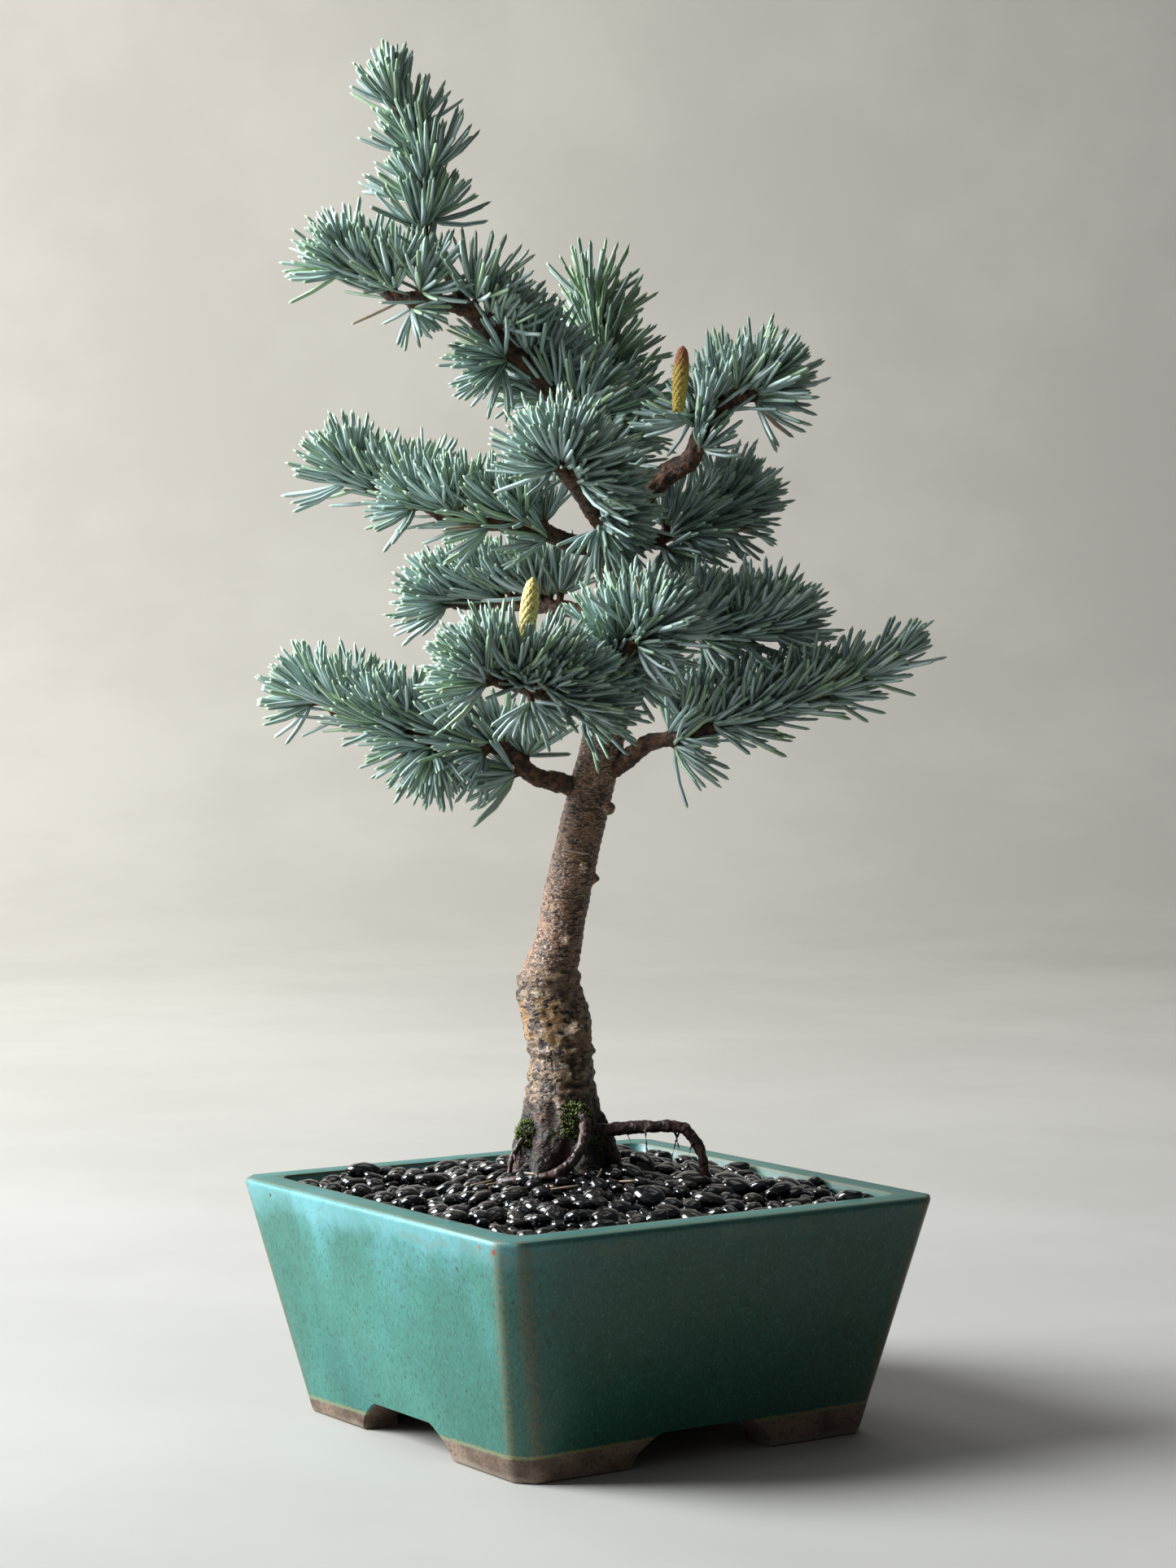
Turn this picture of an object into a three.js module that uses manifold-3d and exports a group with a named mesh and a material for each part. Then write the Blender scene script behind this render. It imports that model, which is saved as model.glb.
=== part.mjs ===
// A cedar bonsai in a square, footed, glazed pot. Millimetres, +Z up.
//
// The origin is the centre of the pot's footprint, on the surface that the feet stand on, and the
// pot's sides lie along X and Y. The tree is drawn in a frame of its own, as its grower sees it from
// the front: x to the right, y away from the viewer, z up from the soil line. That frame is then
// turned about Z, so that the tree's front looks over one corner of the pot.

import * as THREE from 'three';
import { mergeVertices } from 'three/addons/utils/BufferGeometryUtils.js';
import Module from 'manifold-3d';

const wasm = await Module();
wasm.setup();

// ---------------------------------------------------------------- driving dimensions

const gap = 0.3; // left between pieces that touch

const potWidth = 168.5; // across the rim, along X
const potDepth = 168.5; // across the rim, along Y
const potHeight = 78; // floor to rim, feet included
const potDraft = 0.216; // how far a side leans out for each millimetre of height
const rimLand = 10.5; // width of the rim's flat top, and of the wall below it
const rimEase = 1.6; // bevel round the rim's outer edge
const cornerCut = 5.7; // flat cut down each upright corner
const cavityCorner = 6; // the same, on the inside
const floorThickness = 7;
const footHeight = 8;
const footLength = 40; // along each side, from the corner, where a foot stands on the table
const footWall = 13; // the feet are L-shaped: this is the thickness of the L
const archRise = 2.8; // how far the apron's arch rises above the feet
const archSweep = 10.5; // length of the curve from a foot's end up to the arch
const drainRadius = 9;

const screenSize = 34;
const screenThickness = 1.2;
const screenBar = 2.4; // width of the bars between the screen's holes
const screenCells = 3; // holes along each side

const moundDrop = 4; // pebbles lie this far under the rim along the walls
const moundRise = 6; // and stand this far over it at the trunk
const moundReach = 44; // how wide the mound spreads
const pebbleDepth = 8; // the top dressing's thickness

const frontTurn = -34; // degrees, the tree's front about the pot's upright axis
const treeHeight = 356; // soil line to the highest shoot
const drawnHeight = 356; // the height that the limbs below are drawn for
const trunkThickness = 15.6; // at mid height
const drawnThickness = 15.6; // the thickness that the limbs' radii are drawn for
const needleLength = 19;
const limbStep = 9; // length of one facet along a limb
const sleeveReach = 0.22; // needles along a bare shoot reach this share of their length
const foliageSides = 10; // facets round a limb's needles
const foliageStep = 8; // length of one facet along them

// ---------------------------------------------------------------- the tree as drawn

// Every limb is a list of [x, y, z, radius] in the tree's own frame. A branch starts on the axis of
// the limb that carries it, and the fit between the two is cut afterwards.
const trunk = [
  [-7, 0, -18, 15],
  [-7, 0, 0, 15],
  [-7, 0, 10, 14],
  [-7, 0, 20, 12.5],
  [-7, 0, 29, 11],
  [-7, 1, 39, 10.6],
  [-9, 2, 50, 11.2],
  [-11, 2, 60, 10.5],
  [-8, 3, 73, 7.9],
  [-5, 5, 90, 7.8],
  [-1, 6, 108, 7.4],
  [2, 6, 121, 7.4],
  [5, 6, 132, 7.3],
  [8, 5, 146, 7],
  [10, 4, 159, 6.8],
  [11, 3, 175, 6.7],
  [11, 2, 191, 6.6],
  [10, 2, 203, 6.2],
  [10, 3, 214, 5],
  [5, 6, 232, 4],
  [-6, 8, 250, 3.3],
  [-16, 6, 262, 3.3],
  [-25, 3, 269, 3.4],
  [-32, 1, 277, 3.3],
  [-38, 0, 283, 3],
];

// The root crown's ridges: where each one leaves the trunk, and where it enters the soil.
const rootRidges = [
  [[-9, -2, 24, 7], [-17.5, -3, 8, 5], [-20, -5, -10, 4]],
  [[-6, -3, 20, 7], [-11, -14, 4, 5], [-14, -20, -12, 4]],
  [[-4, -3, 18, 7], [1, -11, 5, 5], [4, -16, -12, 4]],
  [[-3, 1, 22, 7], [6, 1, 6, 5], [11, 2, -12, 4]],
  [[-5, 3, 20, 7], [2, 14, 4, 5], [6, 21, -12, 4]],
  [[-8, 3, 20, 7], [-17, 12, 4, 5], [-22, 18, -12, 4]],
];

const roots = {
  root_right: [
    [-1, -6, 13, 2.4],
    [10, -8, 13.5, 2.2],
    [22, -9, 14.5, 2],
    [33, -9, 14, 1.9],
    [38, -9, 8, 1.8],
    [40, -9, 0, 1.6],
    [41, -9, -8, 1.4],
  ],
  root_front: [
    [-2, -6, 22, 2],
    [1, -16, 16, 1.9],
    [-1, -21, 8, 1.8],
    [-8, -25, 1.5, 1.7],
    [-16, -24, -0.5, 1.6],
    [-25, -20, -2, 1.4],
    [-33, -17, -7, 1.1],
  ],
  root_left: [
    [-10, -5, 14, 1.2],
    [-19, -9, 11, 1.1],
    [-23, -12, 4, 1],
    [-25, -14, -9, 0.9],
  ],
};

const branches = {
  low_left: [
    [3, 6, 120, 3.4],
    [-5, 4, 126, 3.4],
    [-16, 0, 129, 3],
    [-23, -3, 136, 2.6],
    [-35, -4, 140, 2.2],
    [-49, -3, 141, 1.9],
    [-68, 0, 146, 1.6],
    [-80, 7, 149, 1.4],
    [-87, 12, 153, 1.1],
  ],
  low_right: [
    [6, 6, 128, 3.4],
    [14, 2, 134, 3.2],
    [22, -1, 140, 2.8],
    [27, -4, 141, 2.6],
    [40, -8, 145, 2.2],
    [56, -11, 148, 1.9],
    [72, -14, 154, 1.7],
    [88, -16, 160, 1.4],
    [100, -18, 167, 1],
  ],
  front: [
    [9, 4, 150, 3.8],
    [2, -14, 151, 3.6],
    [-6, -34, 154, 3.2],
    [-16, -50, 158, 2.6],
    [-26, -61, 160, 2],
  ],
  front_right: [
    [10, 4, 160, 3],
    [10, -14, 163, 2.8],
    [12, -28, 170, 2.4],
    [20, -40, 175, 1.8],
  ],
  middle_right: [
    [11, 3, 165, 3],
    [22, -1, 171, 2.6],
    [34, -6, 175, 2.2],
    [46, -8, 175, 1.8],
    [58, -10, 176, 1.3],
  ],
  back_left: [
    [11, 3, 180, 3],
    [-4, 20, 184, 2.8],
    [-24, 32, 186, 2.3],
    [-43, 40, 186, 1.6],
  ],
  back_right: [
    [8, 5, 145, 3.2],
    [12, 26, 150, 2.8],
    [18, 46, 154, 2.2],
    [22, 62, 160, 1.4],
  ],
  upper_left: [
    [10, 2, 203, 3.2],
    [-3, -5, 205, 3],
    [-16, -8, 210, 2.6],
    [-26, -8, 211, 2.3],
    [-43, -2, 213, 1.9],
    [-55, 5, 219, 1.6],
    [-64, 10, 220, 1.4],
    [-75, 15, 226, 1.1],
  ],
  upper_right: [
    [10, 2, 207, 4],
    [20, 0, 221, 4],
    [28, -4, 228, 3.8],
    [35, -8, 232, 3.3],
    [41, -10, 246, 2.6],
    [55, -14, 253, 1.8],
  ],
  upper_right_back: [
    [10, 2, 202, 2.8],
    [22, 9, 206, 2.6],
    [32, 16, 210, 2.2],
    [46, 24, 216, 1.5],
  ],
  upper_front: [
    [10, 2, 206, 2.8],
    [4, -16, 214, 2.7],
    [-3, -32, 223, 2.3],
    [-7, -42, 227, 1.8],
  ],
  upper_back: [
    [10, 2, 210, 3],
    [11, 18, 234, 2.8],
    [8, 26, 257, 2.3],
    [5, 30, 274, 1.9],
    [3, 32, 284, 1.4],
  ],
  leader_left: [
    [-36, 0, 281, 2.6],
    [-50, -2, 285, 2.4],
    [-62, 0, 286, 1.9],
    [-76, 3, 295, 1.2],
  ],
  leader_tip: [
    [-37, 1, 281, 2.4],
    [-45, 5, 296, 2.1],
    [-52, 6, 306, 1.9],
    [-51, 4, 327, 1.5],
    [-60, 2, 346, 1.1],
    [-62, 2, 353, 0.9],
  ],
};

// Needle tufts: [how far along the limb, clock angle, lean towards the viewer, reach]. The clock
// angle is the way the tuft points as seen from the front: 0 up, 90 right, -90 left, 180 down. The
// reach is a share of the needles' full length. A fifth value is the tuft's spread, as a share of a
// full rosette's.
const tufts = {
  trunk: [
    [0.77, -70, -10, 0.9],
    [0.79, 100, 0, 0.95],
    [0.81, 60, -20, 1],
    [0.84, 70, 20, 1.05],
    [0.85, 40, 10, 1.1],
    [0.86, -60, -20, 0.9],
    [0.88, -80, -30, 0.9],
    [0.89, 60, -20, 0.95],
    [0.9, 20, 0, 1],
    [0.92, -100, 25, 1],
    [0.93, -140, 0, 0.85],
    [0.94, 35, -15, 1],
    [0.96, 60, 30, 0.85],
    [0.99, 25, 45, 1.1],
  ],
  low_left: [
    [0.24, -110, 10, 0.95],
    [0.25, 0, -15, 0.9],
    [0.33, -25, 10, 0.95],
    [0.38, -130, 10, 0.85],
    [0.42, -80, 20, 1.05],
    [0.5, -40, 15, 1],
    [0.56, -150, 10, 1],
    [0.58, 180, 5, 0.95],
    [0.6, -120, 0, 0.95],
    [0.66, -35, 10, 1],
    [0.71, -60, 20, 1],
    [0.76, -20, -10, 0.95],
    [0.86, -25, 10, 1.05],
    [0.9, 0, -10, 0.95],
    [0.97, -50, 5, 1.05],
    [1, -75, 0, 0.95, 0.8],
    [1, -100, 0, 0.85, 0.8],
  ],
  low_right: [
    [0.24, 60, 20, 1],
    [0.25, 125, 20, 0.95],
    [0.3, 10, -10, 0.95],
    [0.35, 40, 10, 1],
    [0.38, 80, 20, 1],
    [0.45, 100, 10, 0.9],
    [0.48, 30, 0, 1.05],
    [0.51, 60, 15, 1],
    [0.56, 45, -10, 1.05],
    [0.61, 75, 10, 1.05],
    [0.69, 50, 0, 1],
    [0.75, 80, 5, 0.9],
    [0.82, 50, 0, 0.8, 0.7],
    [0.88, 75, 10, 0.75, 0.6],
    [0.94, 55, -5, 0.7, 0.5],
    [1, 60, 0, 0.6, 0.5],
  ],
  front: [
    [0.4, 120, 25, 0.95],
    [0.47, 75, 20, 1.05],
    [0.53, 110, 30, 1.05],
    [0.6, 95, 35, 1.05],
    [0.65, 55, 30, 1.05],
    [0.72, 105, 35, 1.1],
    [0.76, 70, 60, 0.95],
    [0.8, 15, 20, 1.1],
    [0.82, 170, 10, 0.75],
    [0.85, -10, 30, 1.1],
    [0.94, -35, 20, 1.05],
    [1, -40, 0, 1.05],
    [1, -60, 15, 1.1],
    [1, -85, 20, 1.05],
    [1, -110, 20, 1],
  ],
  front_right: [
    [0.5, 120, 20, 0.95],
    [0.55, -50, 25, 0.95],
    [0.62, 45, 10, 1.05],
    [0.65, -10, 20, 1.05],
    [0.72, 20, 25, 1.1],
    [0.8, 110, 30, 1],
    [0.85, 35, 20, 1.1],
    [0.9, 5, 35, 1],
    [1, 50, 20, 1.05],
    [1, 80, 25, 1],
  ],
  middle_right: [
    [0.45, 20, 10, 1.05],
    [0.5, 90, 25, 0.95],
    [0.55, 50, 0, 1.1],
    [0.57, 130, 10, 0.85],
    [0.65, 30, -15, 1.05],
    [0.77, 100, 15, 0.95],
    [0.82, 35, 10, 1],
    [0.92, 50, 0, 1.05],
    [1, 68, 0, 1.1],
    [1, 92, 5, 1.1],
  ],
  back_left: [
    [0.42, 10, 0, 0.95],
    [0.5, -35, 0, 0.95],
    [0.57, -10, -15, 1],
    [0.66, 15, 0, 1],
    [0.7, -70, -30, 1],
    [0.76, -10, 0, 1.05],
    [0.86, -30, -10, 1],
    [0.92, -45, 0, 1],
    [1, -60, -20, 1],
    [1, -80, -5, 1],
    [1, -105, 10, 0.95],
  ],
  back_right: [
    [0.5, -50, -20, 1],
    [0.56, 40, -20, 1],
    [0.7, 0, -30, 1.05],
    [0.8, 60, -40, 1],
    [0.86, -60, -40, 1],
    [1, 10, -60, 1.05],
    [1, -30, -50, 1],
    [1, 80, -50, 0.95],
  ],
  upper_left: [
    [0.2, -100, 20, 0.8],
    [0.25, -20, -20, 0.9],
    [0.29, -60, 30, 0.95],
    [0.38, -10, 20, 1.05],
    [0.42, -110, 10, 0.9],
    [0.44, 20, -10, 1],
    [0.55, -15, 10, 1.05],
    [0.6, -40, 20, 1],
    [0.7, -100, 15, 0.85],
    [0.73, -20, 10, 1.05],
    [0.79, -5, -15, 1],
    [0.9, -35, 0, 1],
    [1, -15, -10, 0.95],
    [1, -50, 0, 1.05],
    [1, -85, 10, 1],
  ],
  upper_right: [
    [0.56, 60, 45, 0.7],
    [0.7, -65, 0, 0.9],
    [0.73, -15, 30, 1],
    [0.76, -95, 10, 0.8],
    [0.8, 15, 0, 1.05],
    [0.9, 25, 10, 1.05],
    [0.95, 110, 0, 0.95],
    [1, 45, 0, 1.05],
    [1, 80, 15, 1],
  ],
  upper_right_back: [
    [0.4, 150, 20, 0.85],
    [0.45, 20, -20, 0.95],
    [0.55, 120, 10, 0.95],
    [0.62, 75, 10, 1.05],
    [0.8, 60, -10, 1.05],
    [0.9, 110, 10, 0.95],
    [1, 30, -10, 1],
    [1, 60, 0, 1.1],
    [1, 88, -10, 1],
  ],
  upper_front: [
    [0.35, 165, 30, 0.95],
    [0.4, 140, 15, 0.95],
    [0.5, 100, 30, 1],
    [0.6, 60, 40, 1],
    [0.8, 105, 40, 0.95],
    [0.9, 75, 25, 1.05],
    [0.95, -75, 20, 1],
    [1, -35, 25, 1.1],
    [1, 5, 35, 1.1],
    [1, 42, 30, 1.1],
  ],
  upper_back: [
    [0.45, -80, -40, 0.95],
    [0.5, 90, -30, 0.95],
    [0.6, 60, -20, 1],
    [0.68, -40, -20, 0.95],
    [0.75, 45, -10, 1],
    [0.85, -20, -30, 0.95],
    [0.9, 25, -20, 1],
    [1, 0, -10, 1.05],
  ],
  leader_left: [
    [0.4, 5, 15, 1],
    [0.52, 150, 0, 0.65],
    [0.6, -15, 20, 1.05],
    [0.85, -30, 10, 1],
    [0.95, -85, 10, 0.95],
    [1, -55, 0, 1.05],
  ],
  leader_tip: [
    [0.36, -20, 25, 1.05],
    [0.42, 45, -25, 1],
    [0.5, -50, -10, 0.95],
    [0.6, 15, 20, 1],
    [0.68, -35, 0, 0.95],
    [0.8, 10, -10, 0.9],
    [0.9, -30, 10, 0.8],
    [1, -5, 0, 0.6, 0.7],
  ],
};

// Pollen cones stand upright on short shoots: foot and tip as [x, y, z], and the greatest radius.
const cones = {
  pollen_cone_right: { foot: [31, -13, 247], tip: [32.5, -13, 268], radius: 2.9 },
  pollen_cone_front: { foot: [-19, -50, 164], tip: [-15.5, -50, 192], radius: 3.6 },
};

// Moss cushions on the root crown: middle as [x, y, z], and half sizes.
const mosses = {
  moss_front: { middle: [-2, -12, 17], size: [6, 5, 7] },
  moss_left: { middle: [-17, -7, 12], size: [5, 5, 5] },
  moss_right: { middle: [3, -9, 8], size: [5, 4, 5] },
};

// ---------------------------------------------------------------- materials

const finish = (color, roughness, metalness = 0) =>
  new THREE.MeshStandardMaterial({ color, roughness, metalness });

const glaze = finish(0x5fb39a, 0.3);
const plastic = finish(0x2a2c2a, 0.7);
const earth = finish(0x3a2c20, 1);
const stone = finish(0x1b1c1f, 0.25);
const bark = finish(0x7a4a35, 0.75);
const rootBark = finish(0x4a2a22, 0.8);
const twigBark = finish(0x54301f, 0.85);
const needleGreen = finish(0x6f9a8c, 0.5);
const pollen = finish(0xc9a83e, 0.8);
const mossGreen = finish(0x55722a, 1);

// ---------------------------------------------------------------- solids

/** A closed three.js geometry as a solid that can be cut and joined. */
function solidOf(geometry) {
  const bare = geometry.clone();
  bare.deleteAttribute('normal');
  bare.deleteAttribute('uv');
  const merged = mergeVertices(bare);
  return new wasm.Manifold(
    new wasm.Mesh({
      numProp: 3,
      vertProperties: new Float32Array(merged.attributes.position.array),
      triVerts: new Uint32Array(merged.index.array),
    }),
  );
}

/** A closed skin over rings of points that all turn the same way about the direction of travel. */
function loft(rings) {
  const count = rings[0].length;
  const middle = (ring) =>
    ring.reduce((sum, point) => sum.add(point), new THREE.Vector3()).divideScalar(count);
  const points = [...rings.flat(), middle(rings[0]), middle(rings.at(-1))];
  const first = rings.length * count;
  const last = first + 1;
  const index = [];
  for (let side = 0; side < count; side++) {
    const next = (side + 1) % count;
    for (let ring = 0; ring < rings.length - 1; ring++) {
      const low = ring * count;
      const high = low + count;
      index.push(low + side, low + next, high + next);
      index.push(low + side, high + next, high + side);
    }
    index.push(first, next, side);
    index.push(last, first - count + side, first - count + next);
  }
  const geometry = new THREE.BufferGeometry().setFromPoints(points);
  geometry.setIndex(index);
  return solidOf(geometry);
}

/** Joins a list of solids. */
const join = (solids) => wasm.Manifold.union(solids);

/** The largest single body in a solid, with any hollow that is sealed inside it filled. */
function mainBody(solid) {
  return solid.decompose().reduce((best, body) => (body.volume() > best.volume() ? body : best));
}

/** Whether two solids' bounding boxes meet. */
function near(a, b) {
  const boxA = a.boundingBox();
  const boxB = b.boundingBox();
  return [0, 1, 2].every((k) => boxA.min[k] < boxB.max[k] && boxB.min[k] < boxA.max[k]);
}

/** Cuts room for each neighbour out of a solid. */
function cutFor(solid, neighbours) {
  const close = neighbours.filter((other) => near(solid, other));
  return close.length ? mainBody(solid.subtract(join(close))) : solid;
}

function meshOf(name, solid, material) {
  const { vertProperties, triVerts } = solid.getMesh();
  const geometry = new THREE.BufferGeometry();
  geometry.setAttribute('position', new THREE.BufferAttribute(vertProperties, 3));
  geometry.setIndex(new THREE.BufferAttribute(triVerts, 1));
  const mesh = new THREE.Mesh(geometry, material);
  mesh.name = name;
  return mesh;
}

// ---------------------------------------------------------------- pot and what fills it

/** A rectangle's ring with cut corners, at height z. */
function cutRectangle(halfX, halfY, cut, z) {
  const ring = [];
  for (const [sx, sy] of [[1, -1], [1, 1], [-1, 1], [-1, -1]]) {
    const alongY = new THREE.Vector3(sx * halfX, sy * (halfY - cut), z);
    const alongX = new THREE.Vector3(sx * (halfX - cut), sy * halfY, z);
    ring.push(...(sx === sy ? [alongY, alongX] : [alongX, alongY]));
  }
  return ring;
}

/** A block between two heights whose sides follow the pot's, inset from its outside. */
function potBlock(inset, cut, bottom, top) {
  const ring = (z) => {
    const lean = potDraft * (potHeight - z) + inset;
    return cutRectangle(potWidth / 2 - lean, potDepth / 2 - lean, cut, z);
  };
  return loft([ring(bottom), ring(top)]);
}

const cavityFloor = footHeight + floorThickness;

/** The opening under one apron, seen from the side: feet at both ends, and a low arch between. */
function apronProfile(halfBase) {
  const foot = halfBase - footLength;
  const top = footHeight + archRise;
  const sole = footHeight * 0.1;
  const shape = new THREE.Shape();
  shape.moveTo(-foot, -1);
  shape.lineTo(foot, -1);
  shape.lineTo(foot, sole);
  shape.bezierCurveTo(
    foot - archSweep * 0.45, footHeight * 0.7,
    foot - archSweep * 0.55, top,
    foot - archSweep, top,
  );
  shape.lineTo(archSweep - foot, top);
  shape.bezierCurveTo(
    archSweep * 0.55 - foot, top,
    archSweep * 0.45 - foot, footHeight * 0.7,
    -foot, sole,
  );
  return shape;
}

/** A tunnel right through under the pot, along X or Y. */
function footTunnel(along) {
  const halfBase = (along === 'x' ? potDepth : potWidth) / 2 - potDraft * potHeight;
  const length = Math.max(potWidth, potDepth) * 1.2;
  const geometry = new THREE.ExtrudeGeometry(apronProfile(halfBase), {
    depth: length,
    bevelEnabled: false,
    curveSegments: 5,
  });
  geometry.translate(0, 0, -length / 2);
  geometry.rotateX(Math.PI / 2);
  if (along === 'x') geometry.rotateZ(Math.PI / 2);
  return solidOf(geometry);
}

function makePot() {
  const outside = (z, inset) => {
    const lean = potDraft * (potHeight - z) + inset;
    return cutRectangle(potWidth / 2 - lean, potDepth / 2 - lean, cornerCut, z);
  };
  const body = loft([outside(0, 0), outside(potHeight - rimEase, 0), outside(potHeight, rimEase)]);
  const underside = potBlock(footWall, cavityCorner, -1, footHeight);
  const cavity = potBlock(rimLand, cavityCorner, cavityFloor, potHeight + 1);
  const drain = new THREE.CylinderGeometry(drainRadius, drainRadius, 4 * floorThickness, 24);
  drain.rotateX(Math.PI / 2);
  drain.translate(0, 0, cavityFloor);
  return body.subtract(join([underside, cavity, footTunnel('x'), footTunnel('y'), solidOf(drain)]));
}

/** A box of the given size, standing on height bottom with its middle over (x, y). */
function block(sizeX, sizeY, sizeZ, bottom, x = 0, y = 0) {
  const geometry = new THREE.BoxGeometry(sizeX, sizeY, sizeZ);
  geometry.translate(x, y, bottom + sizeZ / 2);
  return solidOf(geometry);
}

/** The room that the drainage screen takes on the pot's floor, grown by a margin. */
function screenPlate(grow = 0) {
  const side = screenSize + 2 * grow;
  return block(side, side, screenThickness + 2 * grow, cavityFloor + gap - grow);
}

function makeScreen() {
  const pitch = (screenSize - screenBar) / screenCells;
  const place = (cell) => (cell - (screenCells - 1) / 2) * pitch;
  const holes = [];
  for (let column = 0; column < screenCells; column++) {
    for (let row = 0; row < screenCells; row++) {
      const side = pitch - screenBar;
      holes.push(block(side, side, 4 * screenThickness, cavityFloor - gap, place(column), place(row)));
    }
  }
  return screenPlate().subtract(join(holes));
}

const crownHeight = potHeight + moundRise;
const wallLevel = potHeight - moundDrop;

/** Everything under the mound's surface, lowered by depth. */
function underMound(depth) {
  const reach = Math.max(potWidth, potDepth);
  const rows = 7;
  const profile = [new THREE.Vector2(0, 0)];
  profile.push(new THREE.Vector2(reach, 0));
  for (let row = rows; row >= 0; row--) {
    const radius = row === rows ? reach : (row / (rows - 1)) * 2.2 * moundReach;
    const rise = (crownHeight - wallLevel) * Math.exp(-((radius / moundReach) ** 2));
    profile.push(new THREE.Vector2(radius, wallLevel + rise - depth));
  }
  const geometry = new THREE.LatheGeometry(profile, 16);
  geometry.rotateX(Math.PI / 2);
  return solidOf(geometry);
}

// ---------------------------------------------------------------- limbs

const treeScale = treeHeight / drawnHeight;
const girth = trunkThickness / drawnThickness;

/** The curve down a limb's middle. */
function routeOf(limb) {
  const points = limb.map(([x, y, z]) => new THREE.Vector3(x, y, z).multiplyScalar(treeScale));
  return new THREE.CatmullRomCurve3(points, false, 'centripetal');
}

/** The limb's radius at a share of its length. */
function radiusAt(limb, route, share) {
  const place = route.getUtoTmapping(share) * (limb.length - 1);
  const step = Math.min(Math.floor(place), limb.length - 2);
  return girth * THREE.MathUtils.lerp(limb[step][3], limb[step + 1][3], place - step);
}

/** A limb from a share of its length to its tip, grown by a margin all round. */
function limbSolid(limb, sides, grow = 0, from = 0) {
  const route = routeOf(limb);
  const steps = Math.max(4, Math.round((route.getLength() * (1 - from)) / limbStep));
  const frames = route.computeFrenetFrames(steps);
  const rings = [];
  for (let step = 0; step <= steps; step++) {
    const share = from + ((1 - from) * step) / steps;
    const frame = Math.round(share * steps);
    const tangent = route.getTangentAt(share);
    const across = frames.normals[frame].clone().projectOnPlane(tangent).normalize();
    const up = new THREE.Vector3().crossVectors(tangent, across);
    const middle = route.getPointAt(share);
    if (step === 0) middle.addScaledVector(tangent, -grow);
    if (step === steps) middle.addScaledVector(tangent, grow);
    const radius = radiusAt(limb, route, share) + grow;
    const ring = [];
    for (let side = 0; side < sides; side++) {
      const angle = (side / sides) * 2 * Math.PI;
      ring.push(
        middle.clone()
          .addScaledVector(across, radius * Math.cos(angle))
          .addScaledVector(up, radius * Math.sin(angle)),
      );
    }
    rings.push(ring);
  }
  return loft(rings);
}

function trunkSolid(grow = 0) {
  const ridges = rootRidges.map((ridge) => limbSolid(ridge, 6, grow));
  return join([limbSolid(trunk, 10, grow), ...ridges]);
}

// ---------------------------------------------------------------- needles, cones and moss

/** The way that a tuft points, from its clock angle and its lean towards the viewer. */
function tuftDirection(clock, lean) {
  const turn = THREE.MathUtils.degToRad(clock);
  const tip = THREE.MathUtils.degToRad(lean);
  return new THREE.Vector3(
    Math.sin(turn) * Math.cos(tip),
    -Math.sin(tip),
    Math.cos(turn) * Math.cos(tip),
  );
}

/** How far a ray reaches before it leaves a ball for good, or 0 where it misses the ball. */
function rayThroughBall(start, direction, ball) {
  const offset = ball.centre.clone().sub(start);
  const along = offset.dot(direction);
  const square = ball.radius ** 2 - offset.lengthSq() + along ** 2;
  return square > 0 ? along + Math.sqrt(square) : 0;
}

/** A limb's needles as one body: a skin round a straight axis that swells out over every tuft. */
function foliageSolid(limb, rows, grow = 0) {
  const route = routeOf(limb);
  const balls = rows.map(([share, clock, lean, reach, spread = 1]) => {
    const length = reach * needleLength;
    const direction = tuftDirection(clock, lean);
    const centre = route.getPointAt(share).addScaledVector(direction, 0.5 * length);
    return { centre, radius: 0.55 * length * spread };
  });
  const first = Math.min(...rows.map(([share]) => share));
  const start = route.getPointAt(Math.max(first - 0.05, 0));
  const axis = route.getPointAt(1).sub(start).normalize();
  const across = new THREE.Vector3(0, 0, 1).projectOnPlane(axis).normalize();
  const beside = new THREE.Vector3().crossVectors(axis, across);
  const ends = balls.map(({ centre, radius }) => {
    const along = centre.clone().sub(start).dot(axis);
    return [along - 0.9 * radius, along + 0.9 * radius];
  });
  const low = Math.min(...ends.map((end) => end[0]));
  const high = Math.max(...ends.map((end) => end[1]));
  const steps = Math.round((high - low) / foliageStep);
  const rings = [];
  for (let step = 0; step <= steps; step++) {
    const outward = step === 0 ? -grow : step === steps ? grow : 0;
    const middle = start.clone().addScaledVector(axis, low + ((high - low) * step) / steps);
    const ring = [];
    for (let side = 0; side < foliageSides; side++) {
      const angle = (side / foliageSides) * 2 * Math.PI;
      const out = across.clone().multiplyScalar(Math.cos(angle));
      out.addScaledVector(beside, Math.sin(angle));
      const reaches = balls.map((ball) => rayThroughBall(middle, out, ball));
      const radius = Math.max(sleeveReach * needleLength, ...reaches) + grow;
      ring.push(middle.clone().addScaledVector(out, radius).addScaledVector(axis, outward));
    }
    rings.push(ring);
  }
  return loft(rings);
}

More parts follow.
